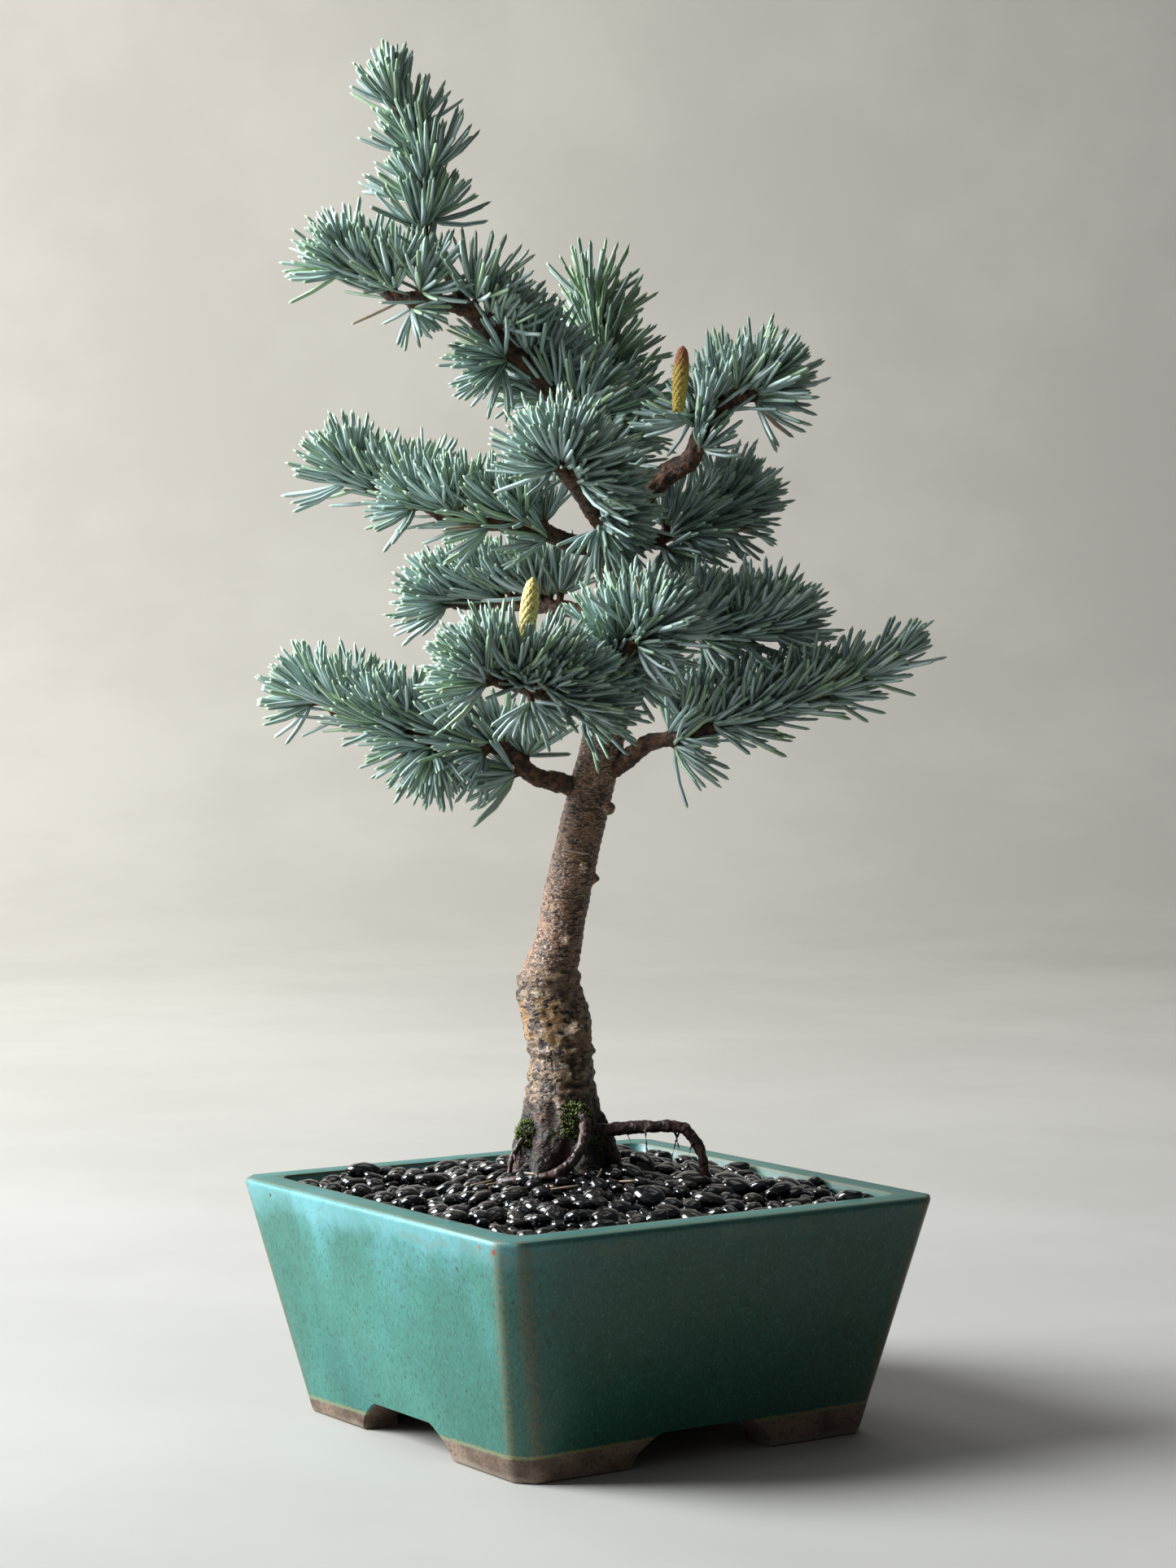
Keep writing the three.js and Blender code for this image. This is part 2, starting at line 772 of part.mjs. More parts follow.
/** A club-shaped cone from its foot to its tip. */
function coneSolid({ foot, tip, radius }, grow = 0) {
  const from = new THREE.Vector3(...foot).multiplyScalar(treeScale);
  const axis = new THREE.Vector3(...tip).multiplyScalar(treeScale).sub(from);
  const length = axis.length();
  const wide = radius * treeScale;
  const profile = [
    [0, -grow],
    [0.45 * wide + grow, 0],
    [0.85 * wide + grow, 0.35 * length],
    [wide + grow, 0.72 * length],
    [0.72 * wide + grow, 0.93 * length],
    [0, length + grow],
  ].map(([r, h]) => new THREE.Vector2(r, h));
  const geometry = new THREE.LatheGeometry(profile, 8);
  const up = new THREE.Vector3(0, 1, 0);
  geometry.applyQuaternion(new THREE.Quaternion().setFromUnitVectors(up, axis.normalize()));
  geometry.translate(from.x, from.y, from.z);
  return solidOf(geometry);
}

function mossSolid({ middle, size }) {
  const geometry = new THREE.SphereGeometry(1, 8, 5);
  geometry.scale(...size.map((half) => half * girth));
  geometry.translate(...middle.map((at) => at * treeScale));
  return solidOf(geometry);
}

// ---------------------------------------------------------------- assembly

/** Moves a solid from the tree's frame to the pot's. */
const toPot = (solid) => solid.rotate([0, 0, frontTurn]).translate([0, 0, crownHeight]);

const tree = new THREE.Group();
tree.position.z = crownHeight;
tree.rotation.z = THREE.MathUtils.degToRad(frontTurn);

const bonsai = new THREE.Group();
bonsai.add(tree);

tree.add(meshOf('trunk', trunkSolid(), bark));

// Each limb makes room for those before it.
const limbRooms = [trunkSolid(gap)];
for (const [name, root] of Object.entries(roots)) {
  tree.add(meshOf(name, cutFor(limbSolid(root, 8), limbRooms), rootBark));
  limbRooms.push(limbSolid(root, 8, gap));
}
const buried = limbRooms.map(toPot);
for (const [name, branch] of Object.entries(branches)) {
  tree.add(meshOf(`branch_${name}`, cutFor(limbSolid(branch, 8), limbRooms), twigBark));
  limbRooms.push(limbSolid(branch, 8, gap));
}

// Cones stand clear of the limbs, and the needles then make room for limbs, cones and each other.
const rooms = [...limbRooms];
for (const [name, cone] of Object.entries(cones)) {
  tree.add(meshOf(name, cutFor(coneSolid(cone), limbRooms), pollen));
  rooms.push(coneSolid(cone, gap));
}
for (const [name, rows] of Object.entries(tufts)) {
  const limb = name === 'trunk' ? trunk : branches[name];
  tree.add(meshOf(`needles_${name}`, cutFor(foliageSolid(limb, rows), rooms), needleGreen));
  rooms.push(foliageSolid(limb, rows, gap));
}

const mossRooms = [];
for (const [name, moss] of Object.entries(mosses)) {
  const solid = cutFor(mossSolid(moss), [...limbRooms, ...mossRooms]);
  tree.add(meshOf(name, solid, mossGreen));
  mossRooms.push(mossSolid(moss));
  buried.push(toPot(mossSolid(moss)));
}

const filling = potBlock(rimLand + gap, cavityCorner, cavityFloor + gap, potHeight);
const soilRooms = [...buried, screenPlate(gap)];
const soil = cutFor(filling.intersect(underMound(pebbleDepth + gap)), soilRooms);
const pebbleBed = filling.intersect(underMound(0)).subtract(underMound(pebbleDepth));

bonsai.add(meshOf('pot', makePot(), glaze));
bonsai.add(meshOf('drainage_screen', makeScreen(), plastic));
bonsai.add(meshOf('soil', soil, earth));
bonsai.add(meshOf('pebble_layer', cutFor(pebbleBed, buried), stone));

export default bonsai;
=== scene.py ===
import math

import bmesh
import bpy
import numpy as np
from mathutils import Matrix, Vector
from mathutils import noise as field


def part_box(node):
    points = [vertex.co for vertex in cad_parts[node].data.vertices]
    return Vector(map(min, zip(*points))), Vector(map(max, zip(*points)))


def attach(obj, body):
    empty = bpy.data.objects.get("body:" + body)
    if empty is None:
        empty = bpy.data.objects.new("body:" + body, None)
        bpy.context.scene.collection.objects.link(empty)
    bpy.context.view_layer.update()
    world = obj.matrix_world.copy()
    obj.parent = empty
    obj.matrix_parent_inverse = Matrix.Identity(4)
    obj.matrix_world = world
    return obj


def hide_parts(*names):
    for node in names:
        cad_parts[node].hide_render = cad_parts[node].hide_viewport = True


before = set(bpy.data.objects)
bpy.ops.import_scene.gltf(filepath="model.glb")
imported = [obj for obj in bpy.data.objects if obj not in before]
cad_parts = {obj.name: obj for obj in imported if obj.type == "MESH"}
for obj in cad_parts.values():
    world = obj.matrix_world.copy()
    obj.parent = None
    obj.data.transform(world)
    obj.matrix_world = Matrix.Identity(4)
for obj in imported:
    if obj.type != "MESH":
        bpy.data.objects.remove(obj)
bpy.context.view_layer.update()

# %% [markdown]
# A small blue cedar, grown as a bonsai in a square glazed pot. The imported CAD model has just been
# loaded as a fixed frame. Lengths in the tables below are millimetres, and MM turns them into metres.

MM = 0.001
CROWN = 84.0  # height of the soil line at the trunk
FRONT_TURN = math.radians(-34)  # the tree's front looks over one corner of the pot
NEEDLE = 19.0  # length of a full-grown needle

# %% [markdown]
# An operator works on everything that is selected, and a loaded frame leaves its pieces selected. So
# every step starts from an empty selection. Faces, edges and corners are picked in code, by where
# they are, with the mesh open in edit mode.

# %% Selecting, finishing and colour helpers
def deselect():
    """Leaves nothing selected."""
    bpy.ops.object.select_all(action="DESELECT")


def choose(obj):
    """Makes obj the only selected and the active object."""
    deselect()
    obj.select_set(True)
    bpy.context.view_layer.objects.active = obj


def pick(obj, kind, rule):
    """In edit mode, selects the faces, edges or verts whose middle and normal pass a rule."""
    mesh = bmesh.from_edit_mesh(obj.data)
    bpy.context.tool_settings.mesh_select_mode = (kind == "verts", kind == "edges", kind == "faces")
    for group in (mesh.verts, mesh.edges, mesh.faces):
        for item in group:
            item.select_set(False)
    for item in getattr(mesh, kind):
        if kind == "verts":
            middle, normal = item.co, item.normal
        elif kind == "edges":
            middle = (item.verts[0].co + item.verts[1].co) / 2
            normal = (item.verts[1].co - item.verts[0].co).normalized()
        else:
            middle, normal = item.calc_center_median(), item.normal
        if rule(middle, normal):
            item.select_set(True)
    mesh.select_flush_mode()
    bmesh.update_edit_mesh(obj.data)


def apply_modifier(obj, kind, **settings):
    """Adds a modifier, sets it and applies it."""
    choose(obj)
    modifier = obj.modifiers.new(kind.title(), kind)
    for key, value in settings.items():
        setattr(modifier, key, value)
    bpy.ops.object.modifier_apply(modifier=modifier.name)


def settle(obj, material, slot, *nodes):
    """Puts a finished piece's place in its mesh, dresses it and lets it ride with the tree."""
    choose(obj)
    bpy.ops.object.transform_apply(location=True, rotation=True, scale=True)
    obj.data.materials.clear()
    obj.data.materials.append(material)
    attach(obj, "root")
    if nodes:
        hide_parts(*nodes)


def colour(red, green, blue):
    """A colour given as 0 to 255 on a screen, as the linear values that shaders take."""
    def linear(value):
        value /= 255
        return value / 12.92 if value <= 0.04045 else ((value + 0.055) / 1.055) ** 2.4
    return (linear(red), linear(green), linear(blue), 1.0)

# %% [markdown]
# Materials are small networks of nodes. These helpers add a node, set its sockets and join it to
# others, so that a material below reads as a short list of what happens to its colour. What several
# finishes share, such as a blotchy two-tone mix or fine grain, is a node group that is built once.

# %% Node helpers
def put(tree, kind, settings=None, **sockets):
    """Adds a node. Socket values are numbers, colours or other nodes' outputs."""
    node = tree.nodes.new(kind)
    for key, value in (settings or {}).items():
        setattr(node, key, value)
    for key, value in sockets.items():
        socket = node.inputs[int(key[1:])] if key[0] == "_" else node.inputs[key.replace("_", " ")]
        if isinstance(value, bpy.types.NodeSocket):
            tree.links.new(value, socket)
        else:
            socket.default_value = value
    return node


def calc(tree, operation, first, second=0.0, third=0.0):
    """One step of arithmetic on masks and coordinates."""
    node = put(tree, "ShaderNodeMath", {"operation": operation}, _0=first, _1=second)
    if operation == "MULTIPLY_ADD":
        if isinstance(third, bpy.types.NodeSocket):
            tree.links.new(third, node.inputs[2])
        else:
            node.inputs[2].default_value = third
    return node.outputs[0]


def times(tree, first, second):
    """Two masks or values, multiplied."""
    return calc(tree, "MULTIPLY", first, second)


def minus(tree, first, second):
    """The first value less the second."""
    return calc(tree, "SUBTRACT", first, second)


def scaled(tree, value, factor, offset):
    """A value times a factor, plus an offset."""
    return calc(tree, "MULTIPLY_ADD", value, factor, offset)


def fade(tree, value, start, end):
    """0 below start, 1 above end, and smooth between. Start may be the larger of the two."""
    node = put(tree, "ShaderNodeMapRange", {"interpolation_type": "SMOOTHSTEP"}, Value=value)
    if start <= end:
        node.inputs["From Min"].default_value = start
        node.inputs["From Max"].default_value = end
    else:
        node.inputs["From Min"].default_value = end
        node.inputs["From Max"].default_value = start
        node.inputs["To Min"].default_value = 1.0
        node.inputs["To Max"].default_value = 0.0
    return node.outputs["Result"]


def blend(tree, share, first, second):
    """Mixes two colours by a mask."""
    node = tree.nodes.new("ShaderNodeMix")
    node.data_type = "RGBA"
    for socket, value in zip((node.inputs[0], node.inputs[6], node.inputs[7]), (share, first, second)):
        if isinstance(value, bpy.types.NodeSocket):
            tree.links.new(value, socket)
        else:
            socket.default_value = value
    return node.outputs[2]


def dab(tree, tone, mask, strength, shade):
    """Lays a shade over a tone, where the mask says and at most at the given strength."""
    return blend(tree, times(tree, mask, strength), tone, shade)


def noise(tree, vector, scale, detail=3.0, roughness=0.55):
    """Cloudy noise as a value that mostly runs from 0.3 to 0.7."""
    node = put(tree, "ShaderNodeTexNoise", None, Vector=vector, Scale=scale, Detail=detail,
               Roughness=roughness)
    return node.outputs["Fac"]


def stretched(tree, vector, x, y, z):
    """The same coordinates, squeezed or stretched along each axis."""
    return put(tree, "ShaderNodeMapping", {"vector_type": "POINT"}, Vector=vector,
               Scale=(x, y, z)).outputs[0]


def new_material(name, roughness=0.5):
    """A material with its shader and the piece's own coordinates."""
    material = bpy.data.materials.new(name)
    material.use_nodes = True
    tree = material.node_tree
    shader = tree.nodes["Principled BSDF"]
    shader.inputs["Roughness"].default_value = roughness
    place = tree.nodes.new("ShaderNodeTexCoord").outputs["Object"]
    return material, tree, shader, place


def bump(tree, shader, height, distance, strength=1.0):
    """Raises the surface by a height map; distance is in metres."""
    node = put(tree, "ShaderNodeBump", None, Height=height, Distance=distance, Strength=strength)
    tree.links.new(node.outputs[0], shader.inputs["Normal"])

# %% [markdown]
# Two effects turn up in nearly every finish here. "Blotches" mixes two tones in soft patches of a
# chosen size. "Specks" gives a mask of small scattered flecks, which can be drawn out along an axis.

# %% Shared node groups
def group_with(name, inputs, outputs):
    """An empty shader node group with named sockets."""
    tree = bpy.data.node_groups.new(name, "ShaderNodeTree")
    for label, kind, default in inputs:
        socket = tree.interface.new_socket(label, in_out="INPUT", socket_type=kind)
        if default is not None:
            socket.default_value = default
    for label, kind in outputs:
        tree.interface.new_socket(label, in_out="OUTPUT", socket_type=kind)
    return tree, tree.nodes.new("NodeGroupInput").outputs, tree.nodes.new("NodeGroupOutput").inputs


blotches, given, result = group_with(
    "Blotches",
    [("Vector", "NodeSocketVector", None), ("Scale", "NodeSocketFloat", 50.0),
     ("Low", "NodeSocketColor", None), ("High", "NodeSocketColor", None)],
    [("Color", "NodeSocketColor"), ("Mask", "NodeSocketFloat")],
)
cloud = noise(blotches, given["Vector"], given["Scale"], 4.0, 0.6)
mask = fade(blotches, cloud, 0.38, 0.64)
blotches.links.new(mask, result["Mask"])
blotches.links.new(blend(blotches, mask, given["Low"], given["High"]), result["Color"])

specks, given, result = group_with(
    "Specks",
    [("Vector", "NodeSocketVector", None), ("Scale", "NodeSocketFloat", 600.0),
     ("Amount", "NodeSocketFloat", 0.3)],
    [("Mask", "NodeSocketFloat")],
)
grain = noise(specks, given["Vector"], given["Scale"], 1.0, 0.4)
line = calc(specks, "SUBTRACT", 0.82, calc(specks, "MULTIPLY", given["Amount"], 0.5))
over = calc(specks, "MULTIPLY", calc(specks, "SUBTRACT", grain, line), 14.0)
held = put(specks, "ShaderNodeClamp", None, Value=over)
specks.links.new(held.outputs[0], result["Mask"])


def use_blotches(tree, vector, scale, low, high):
    """Places the Blotches group and gives back its colour and mask."""
    node = tree.nodes.new("ShaderNodeGroup")
    node.node_tree = blotches
    tree.links.new(vector, node.inputs["Vector"])
    node.inputs["Scale"].default_value = scale
    node.inputs["Low"].default_value = low
    node.inputs["High"].default_value = high
    return node.outputs["Color"], node.outputs["Mask"]


def use_specks(tree, vector, scale, amount):
    """Places the Specks group and gives back its mask."""
    node = tree.nodes.new("ShaderNodeGroup")
    node.node_tree = specks
    tree.links.new(vector, node.inputs["Vector"])
    node.inputs["Scale"].default_value = scale
    node.inputs["Amount"].default_value = amount
    return node.outputs["Mask"]


print("node groups", blotches.name, specks.name)

# %% [markdown]
# The pot is one fired piece: a square block that leans out to its rim, with flat-cut corners, a wide
# flat rim, a deep hollow, and four L-shaped feet that the maker left when cutting an arch under each
# side. It could be thrown as a box of separate walls, but cutting it from one block keeps its rim and
# corners true. So a four-sided cone gives the leaning block, its upright edges are bevelled for the
# corner cuts, and blocks made the same way are taken out of it.

# %% The pot's sizes, and a leaning block with cut corners
POT_TOP = 78.0
POT_HALF = 84.25
POT_LEAN = 0.216
RIM = 10.5
CORNER = 5.7
HOLLOW_CORNER = 6.0
HOLLOW_FLOOR = 15.0
FOOT_TOP = 8.0
FOOT_WALL = 13.0
DRAIN_RADIUS = 9.0
RIM_ROUND = 2.3  # how far the rim's outer edge is rounded over
SOLE_ROUND = 1.4
UPRIGHT_ROUND = 1.7
CUT_ROUND = 0.7  # the rounding of every edge that the cuts leave
# The arch under a side: half its width at each height, from a foot's end up to the apron.
ARCH = [(0.8, 27.4), (3.0, 26.6), (5.0, 25.2), (6.8, 23.2), (8.4, 21.0), (9.8, 19.0), (10.8, 16.9)]
ARCH_TOP = 10.8


def pot_half(height):
    """Half the pot's width at a height."""
    return POT_HALF - POT_LEAN * (POT_TOP - height)


def leaning_block(name, inset, corner, steps, bottom, top):
    """A square block that follows the pot's sides, with its upright edges cut or rounded."""
    deselect()
    low, high = pot_half(bottom) - inset, pot_half(top) - inset
    bpy.ops.mesh.primitive_cone_add(
        vertices=4, radius1=low * MM * math.sqrt(2), radius2=high * MM * math.sqrt(2),
        depth=(top - bottom) * MM, location=(0, 0, (top + bottom) / 2 * MM),
        rotation=(0, 0, math.radians(45)))
    block = bpy.context.object
    block.name = name
    bpy.ops.object.transform_apply(location=True, rotation=True, scale=True)
    bpy.ops.object.mode_set(mode="EDIT")
    pick(block, "edges", lambda middle, along: abs(along.z) > 0.8)
    bpy.ops.mesh.bevel(offset=corner * MM * math.sqrt(2), offset_type="WIDTH", segments=steps,
                       profile=0.5)
    bpy.ops.object.mode_set(mode="OBJECT")
    return block


pot = leaning_block("glazed_pot", 0, CORNER, 1, 0, POT_TOP)
bpy.ops.object.mode_set(mode="EDIT")
pick(pot, "edges", lambda middle, along: middle.z > (POT_TOP - 0.1) * MM and abs(along.z) < 0.1)
bpy.ops.mesh.bevel(offset=RIM_ROUND * MM, segments=5, profile=0.5)
pick(pot, "edges", lambda middle, along: middle.z < 0.1 * MM and abs(along.z) < 0.1)
bpy.ops.mesh.bevel(offset=SOLE_ROUND * MM, segments=3, profile=0.5)
pick(pot, "edges", lambda middle, along: abs(along.z) > 0.8)
bpy.ops.mesh.bevel(offset=UPRIGHT_ROUND * MM, segments=4, profile=0.5)
bpy.ops.object.mode_set(mode="OBJECT")
print("pot block", len(pot.data.polygons), "faces")

# %% [markdown]
# What is cut away: the hollow for the soil, the shallow recess under the pot, an arch through it each
# way, and the drain hole. The arch cutter is a long box, cut across at several heights and drawn in
# at each, which leaves the curve that runs from each foot up into the apron.

# %% Cutting the pot
def arch_cutter(name, turn):
    """A long box, narrower towards its top, that runs right through under the pot."""
    deselect()
    foot_end = ARCH[0][1]
    below, length = 6, 240  # it starts below the feet, and is longer than the pot is wide
    bpy.ops.mesh.primitive_cube_add(size=1, location=(0, 0, (ARCH_TOP - below) / 2 * MM))
    cutter = bpy.context.object
    cutter.name = name
    cutter.scale = (2 * foot_end * MM, length * MM, (ARCH_TOP + below) * MM)
    bpy.ops.object.transform_apply(location=True, rotation=True, scale=True)
    bpy.ops.object.mode_set(mode="EDIT")
    for level, half in ARCH[:-1]:
        bpy.ops.mesh.select_all(action="SELECT")
        bpy.ops.mesh.bisect(plane_co=(0, 0, level * MM), plane_no=(0, 0, 1))
    for level, half in ARCH:
        pick(cutter, "verts", lambda middle, normal: abs(middle.z - level * MM) < 0.05 * MM)
        bpy.ops.transform.resize(value=(half / foot_end, 1, 1))
    bpy.ops.object.mode_set(mode="OBJECT")
    cutter.rotation_euler.z = turn
    bpy.ops.object.transform_apply(location=True, rotation=True, scale=True)
    return cutter


def cut_away(target, cutter):
    """Takes the cutter's shape out of the target and removes the cutter."""
    apply_modifier(target, "BOOLEAN", operation="DIFFERENCE", solver="EXACT", object=cutter)
    bpy.data.objects.remove(cutter)


cut_away(pot, leaning_block("hollow", RIM, HOLLOW_CORNER, 4, HOLLOW_FLOOR, POT_TOP + 4))
cut_away(pot, leaning_block("recess", FOOT_WALL, HOLLOW_CORNER, 3, -4, FOOT_TOP))
cut_away(pot, arch_cutter("arch_along_y", 0))
cut_away(pot, arch_cutter("arch_along_x", math.radians(90)))
deselect()
bpy.ops.mesh.primitive_cylinder_add(vertices=32, radius=DRAIN_RADIUS * MM, depth=2 * HOLLOW_FLOOR * MM,
                                    location=(0, 0, HOLLOW_FLOOR * MM))
cut_away(pot, bpy.context.object)
apply_modifier(pot, "BEVEL", width=CUT_ROUND * MM, segments=3, limit_method="ANGLE",
               angle_limit=math.radians(40), use_clamp_overlap=True)
choose(pot)
bpy.ops.object.shade_smooth_by_angle(angle=math.radians(32))
print("pot", len(pot.data.polygons), "faces")

# %% [markdown]
# The glaze is a thick copper turquoise: blotchy between grey-green and bright cyan, sown with fine
# dark specks that ran a little downwards, and paler in a milky band just under the rim. That band is
# partly the glaze's own and partly a painted sheen, laid mostly on the two sides towards the window,
# as the cyan is; the two sides away from the window are darkened with painted shade. Where the glaze
# runs thin, on the rim's edges, down the corner cuts and at its lower end, the clay shows through in
# tan.
# The feet and the underside are bare clay. All of this follows the pot's own coordinates, so each
# mask below is worked out from how far a point is from an edge of the pot.

# %% Glaze and bare clay
glaze, tree, shader, place = new_material("turquoise_glaze_and_clay", 0.3)
axes = put(tree, "ShaderNodeSeparateXYZ", None, Vector=place).outputs
across_x = calc(tree, "ABSOLUTE", axes["X"])
across_y = calc(tree, "ABSOLUTE", axes["Y"])
height = axes["Z"]
wobble = minus(tree, noise(tree, place, 420, 3), 0.5)
slow_wobble = minus(tree, noise(tree, place, 70, 2), 0.5)
furthest = calc(tree, "MAXIMUM", across_x, across_y)
half_here = scaled(tree, height, POT_LEAN, (POT_HALF - POT_LEAN * POT_TOP) * MM)
corner_gap = minus(tree, times(tree, half_here, 2.0), calc(tree, "ADD", across_x, across_y))
corner_gap = minus(tree, corner_gap, CORNER * MM)
depth_in = calc(tree, "MINIMUM", minus(tree, half_here, furthest), corner_gap)
# 1 on the two sides towards the window, 0 on the two sides away from it, which get a painted shade.
painted_lit_side = fade(tree, minus(tree, axes["Y"], axes["X"]), -0.03, 0.03)

clouds_at = stretched(tree, place, 1, 1, 0.7)
tone, patch = use_blotches(tree, clouds_at, 34, colour(36, 98, 86), colour(46, 112, 99))
# Painted shade: the two sides away from the window are mixed most of the way to a dark green.
tone = blend(tree, scaled(tree, painted_lit_side, -0.9, 0.9), tone, colour(20, 62, 48))
cyan_cloud = noise(tree, clouds_at, 24, 3, 0.6)
upper = fade(tree, scaled(tree, slow_wobble, 0.04, height), 0.036, 0.072)
cyan = times(tree, fade(tree, cyan_cloud, 0.44, 0.66), scaled(tree, upper, 0.32, 0.10))
# The cyan patches are the glaze's own, but they are laid mostly on the two sides towards the window, a painted
# lightening of the lit sides.
painted_lit_share = scaled(tree, painted_lit_side, 0.85, 0.15)
tone = dab(tree, tone, cyan, painted_lit_share, colour(84, 152, 164))
fine = noise(tree, stretched(tree, place, 1, 1, 0.6), 1300, 4, 0.75)
tone = dab(tree, tone, fade(tree, fine, 0.5, 0.72), 0.4, colour(84, 146, 134))
tone = dab(tree, tone, fade(tree, fine, 0.5, 0.3), 0.4, colour(24, 72, 62))
run_specks = use_specks(tree, stretched(tree, place, 1, 1, 0.3), 1500, 0.46)
tone = dab(tree, tone, run_specks, 0.55, colour(20, 48, 38))
pin_holes = use_specks(tree, place, 360, 0.2)
tone = dab(tree, tone, pin_holes, 0.6, colour(30, 40, 28))

# %% Where the glaze is pale, thin or missing, and the painted sheen under the rim
SHOULDER = POT_TOP - 1.2  # the rim's rounding starts here
height_ragged = scaled(tree, slow_wobble, 0.016, height)
# A pale band under the rim: partly the glaze's own thinning there, and partly a painted sheen, so it is laid
# mostly on the two sides towards the window.
milky_band_and_painted_sheen = times(tree, fade(tree, height_ragged, 0.066, 0.0745), fade(tree, height, 0.0778, 0.0768))
milky_band_and_painted_sheen = times(tree, milky_band_and_painted_sheen, painted_lit_share)
tone = dab(tree, tone, milky_band_and_painted_sheen, 0.4, colour(108, 166, 176))
olive = fade(tree, height_ragged, 0.0700, 0.0722)
olive = times(tree, olive, fade(tree, height_ragged, 0.0752, 0.0736))
olive = times(tree, olive, fade(tree, noise(tree, place, 60, 3), 0.42, 0.62))
tone = dab(tree, tone, olive, 0.28, colour(84, 90, 58))
rim_top = fade(tree, height, 0.0770, 0.0777)
tone = dab(tree, tone, rim_top, 0.6, colour(58, 104, 100))
ragged_out = scaled(tree, wobble, 0.0020, furthest)
outer_edge = calc(tree, "ABSOLUTE", minus(tree, ragged_out, (POT_HALF - 2.0) * MM))
inner_edge = calc(tree, "ABSOLUTE", minus(tree, ragged_out, (POT_HALF - RIM + 0.1) * MM))
outer_edge = fade(tree, outer_edge, 0.0011, 0.0002)
inner_edge = fade(tree, inner_edge, 0.0012, 0.0003)
rim_edges = calc(tree, "MAXIMUM", outer_edge, inner_edge)
rim_edges = times(tree, rim_edges, fade(tree, height, SHOULDER * MM, 0.0775))
corner_near = fade(tree, corner_gap, 0.0060, 0.0024)
corner_off = calc(tree, "ABSOLUTE", minus(tree, across_x, across_y))
corner_off = calc(tree, "ABSOLUTE", minus(tree, corner_off, CORNER * MM))
corner_edge = fade(tree, scaled(tree, wobble, 0.0040, corner_off), 0.0050, 0.0006)
corner_edge = times(tree, corner_edge, corner_near)
corner_grain = fade(tree, noise(tree, stretched(tree, place, 1, 1, 0.6), 1300, 3), 0.32, 0.62)
corner_edge = times(tree, corner_edge, corner_grain)
# The glaze was dipped at a slant: its lower end rises towards the right front.
glaze_end = scaled(tree, axes["X"], 0.01515, scaled(tree, axes["Y"], -0.0265, 0.00725))
over_end = minus(tree, scaled(tree, wobble, 0.0012, height), glaze_end)
lower_edge = fade(tree, calc(tree, "ABSOLUTE", minus(tree, over_end, 0.0006)), 0.0009, 0.0002)
thin = calc(tree, "MAXIMUM", times(tree, rim_edges, 0.5), times(tree, corner_edge, 0.7))
tone = blend(tree, thin, tone, colour(96, 86, 58))
tone = dab(tree, tone, lower_edge, 0.6, colour(136, 124, 80))

# %% Clay, and small marks of use
clay_tone, _ = use_blotches(tree, place, 90, colour(88, 72, 60), colour(120, 100, 84))
clay_tone = dab(tree, clay_tone, use_specks(tree, place, 900, 0.45), 0.6, colour(50, 40, 33))
scuffed = fade(tree, scaled(tree, slow_wobble, 0.006, height), 0.0026, 0.0004)
clay_tone = dab(tree, clay_tone, scuffed, 0.4, colour(150, 140, 126))
bare_feet = fade(tree, over_end, 0.0003, -0.0003)
bare_below = times(tree, fade(tree, height, 0.0158, 0.0152), fade(tree, depth_in, 0.0006, 0.0014))
bare_inside = times(tree, fade(tree, height, 0.0700, 0.0680), fade(tree, depth_in, 0.0060, 0.0070))
bare = calc(tree, "MAXIMUM", calc(tree, "MAXIMUM", bare_feet, bare_below), bare_inside)
marks = [((-83.6, -76.4, 74.6), 1.3, (122, 56, 34)), ((-83.5, -68.8, 74.8), 1.0, (128, 90, 54)),
         ((-81.7, -53.0, 66.0), 0.7, (52, 44, 30)), ((-83.4, 61.0, 74.0), 0.8, (48, 44, 34))]
for spot, size, shade in marks:
    far = put(tree, "ShaderNodeVectorMath", {"operation": "DISTANCE"}, _0=place, _1=Vector(spot) * MM)
    ragged = scaled(tree, wobble, 0.0016, far.outputs["Value"])
    tone = blend(tree, fade(tree, ragged, size * MM, 0.6 * size * MM), tone, colour(*shade))
tree.links.new(blend(tree, bare, tone, clay_tone), shader.inputs["Base Color"])
gloss = scaled(tree, patch, 0.08, 0.3)
gloss = scaled(tree, thin, 0.2, gloss)
gloss = scaled(tree, fade(tree, height, 0.0745, 0.0765), 0.14, gloss)
roughness = calc(tree, "MAXIMUM", gloss, times(tree, bare, 0.88))
tree.links.new(roughness, shader.inputs["Roughness"])
orange_peel = scaled(tree, noise(tree, place, 240, 2), 0.6, times(tree, noise(tree, place, 60, 2), 2.0))
dents = scaled(tree, pin_holes, -0.5, orange_peel)
gritty = times(tree, times(tree, noise(tree, place, 1500, 3), bare), 1.2)
bump(tree, shader, calc(tree, "ADD", dents, gritty), 0.25 * MM, 0.55)
settle(pot, glaze, "glaze", "pot")
print("glaze nodes", len(tree.nodes))

# %% [markdown]
# Under the pebbles lie the soil and, over the drain hole, a square of plastic mesh. Both are shown by
# their CAD pieces, because only a little of them is ever seen, from below. Each still gets a finish
# of its own: crumbly brown grains for the soil, and slightly worn moulded plastic for the mesh.

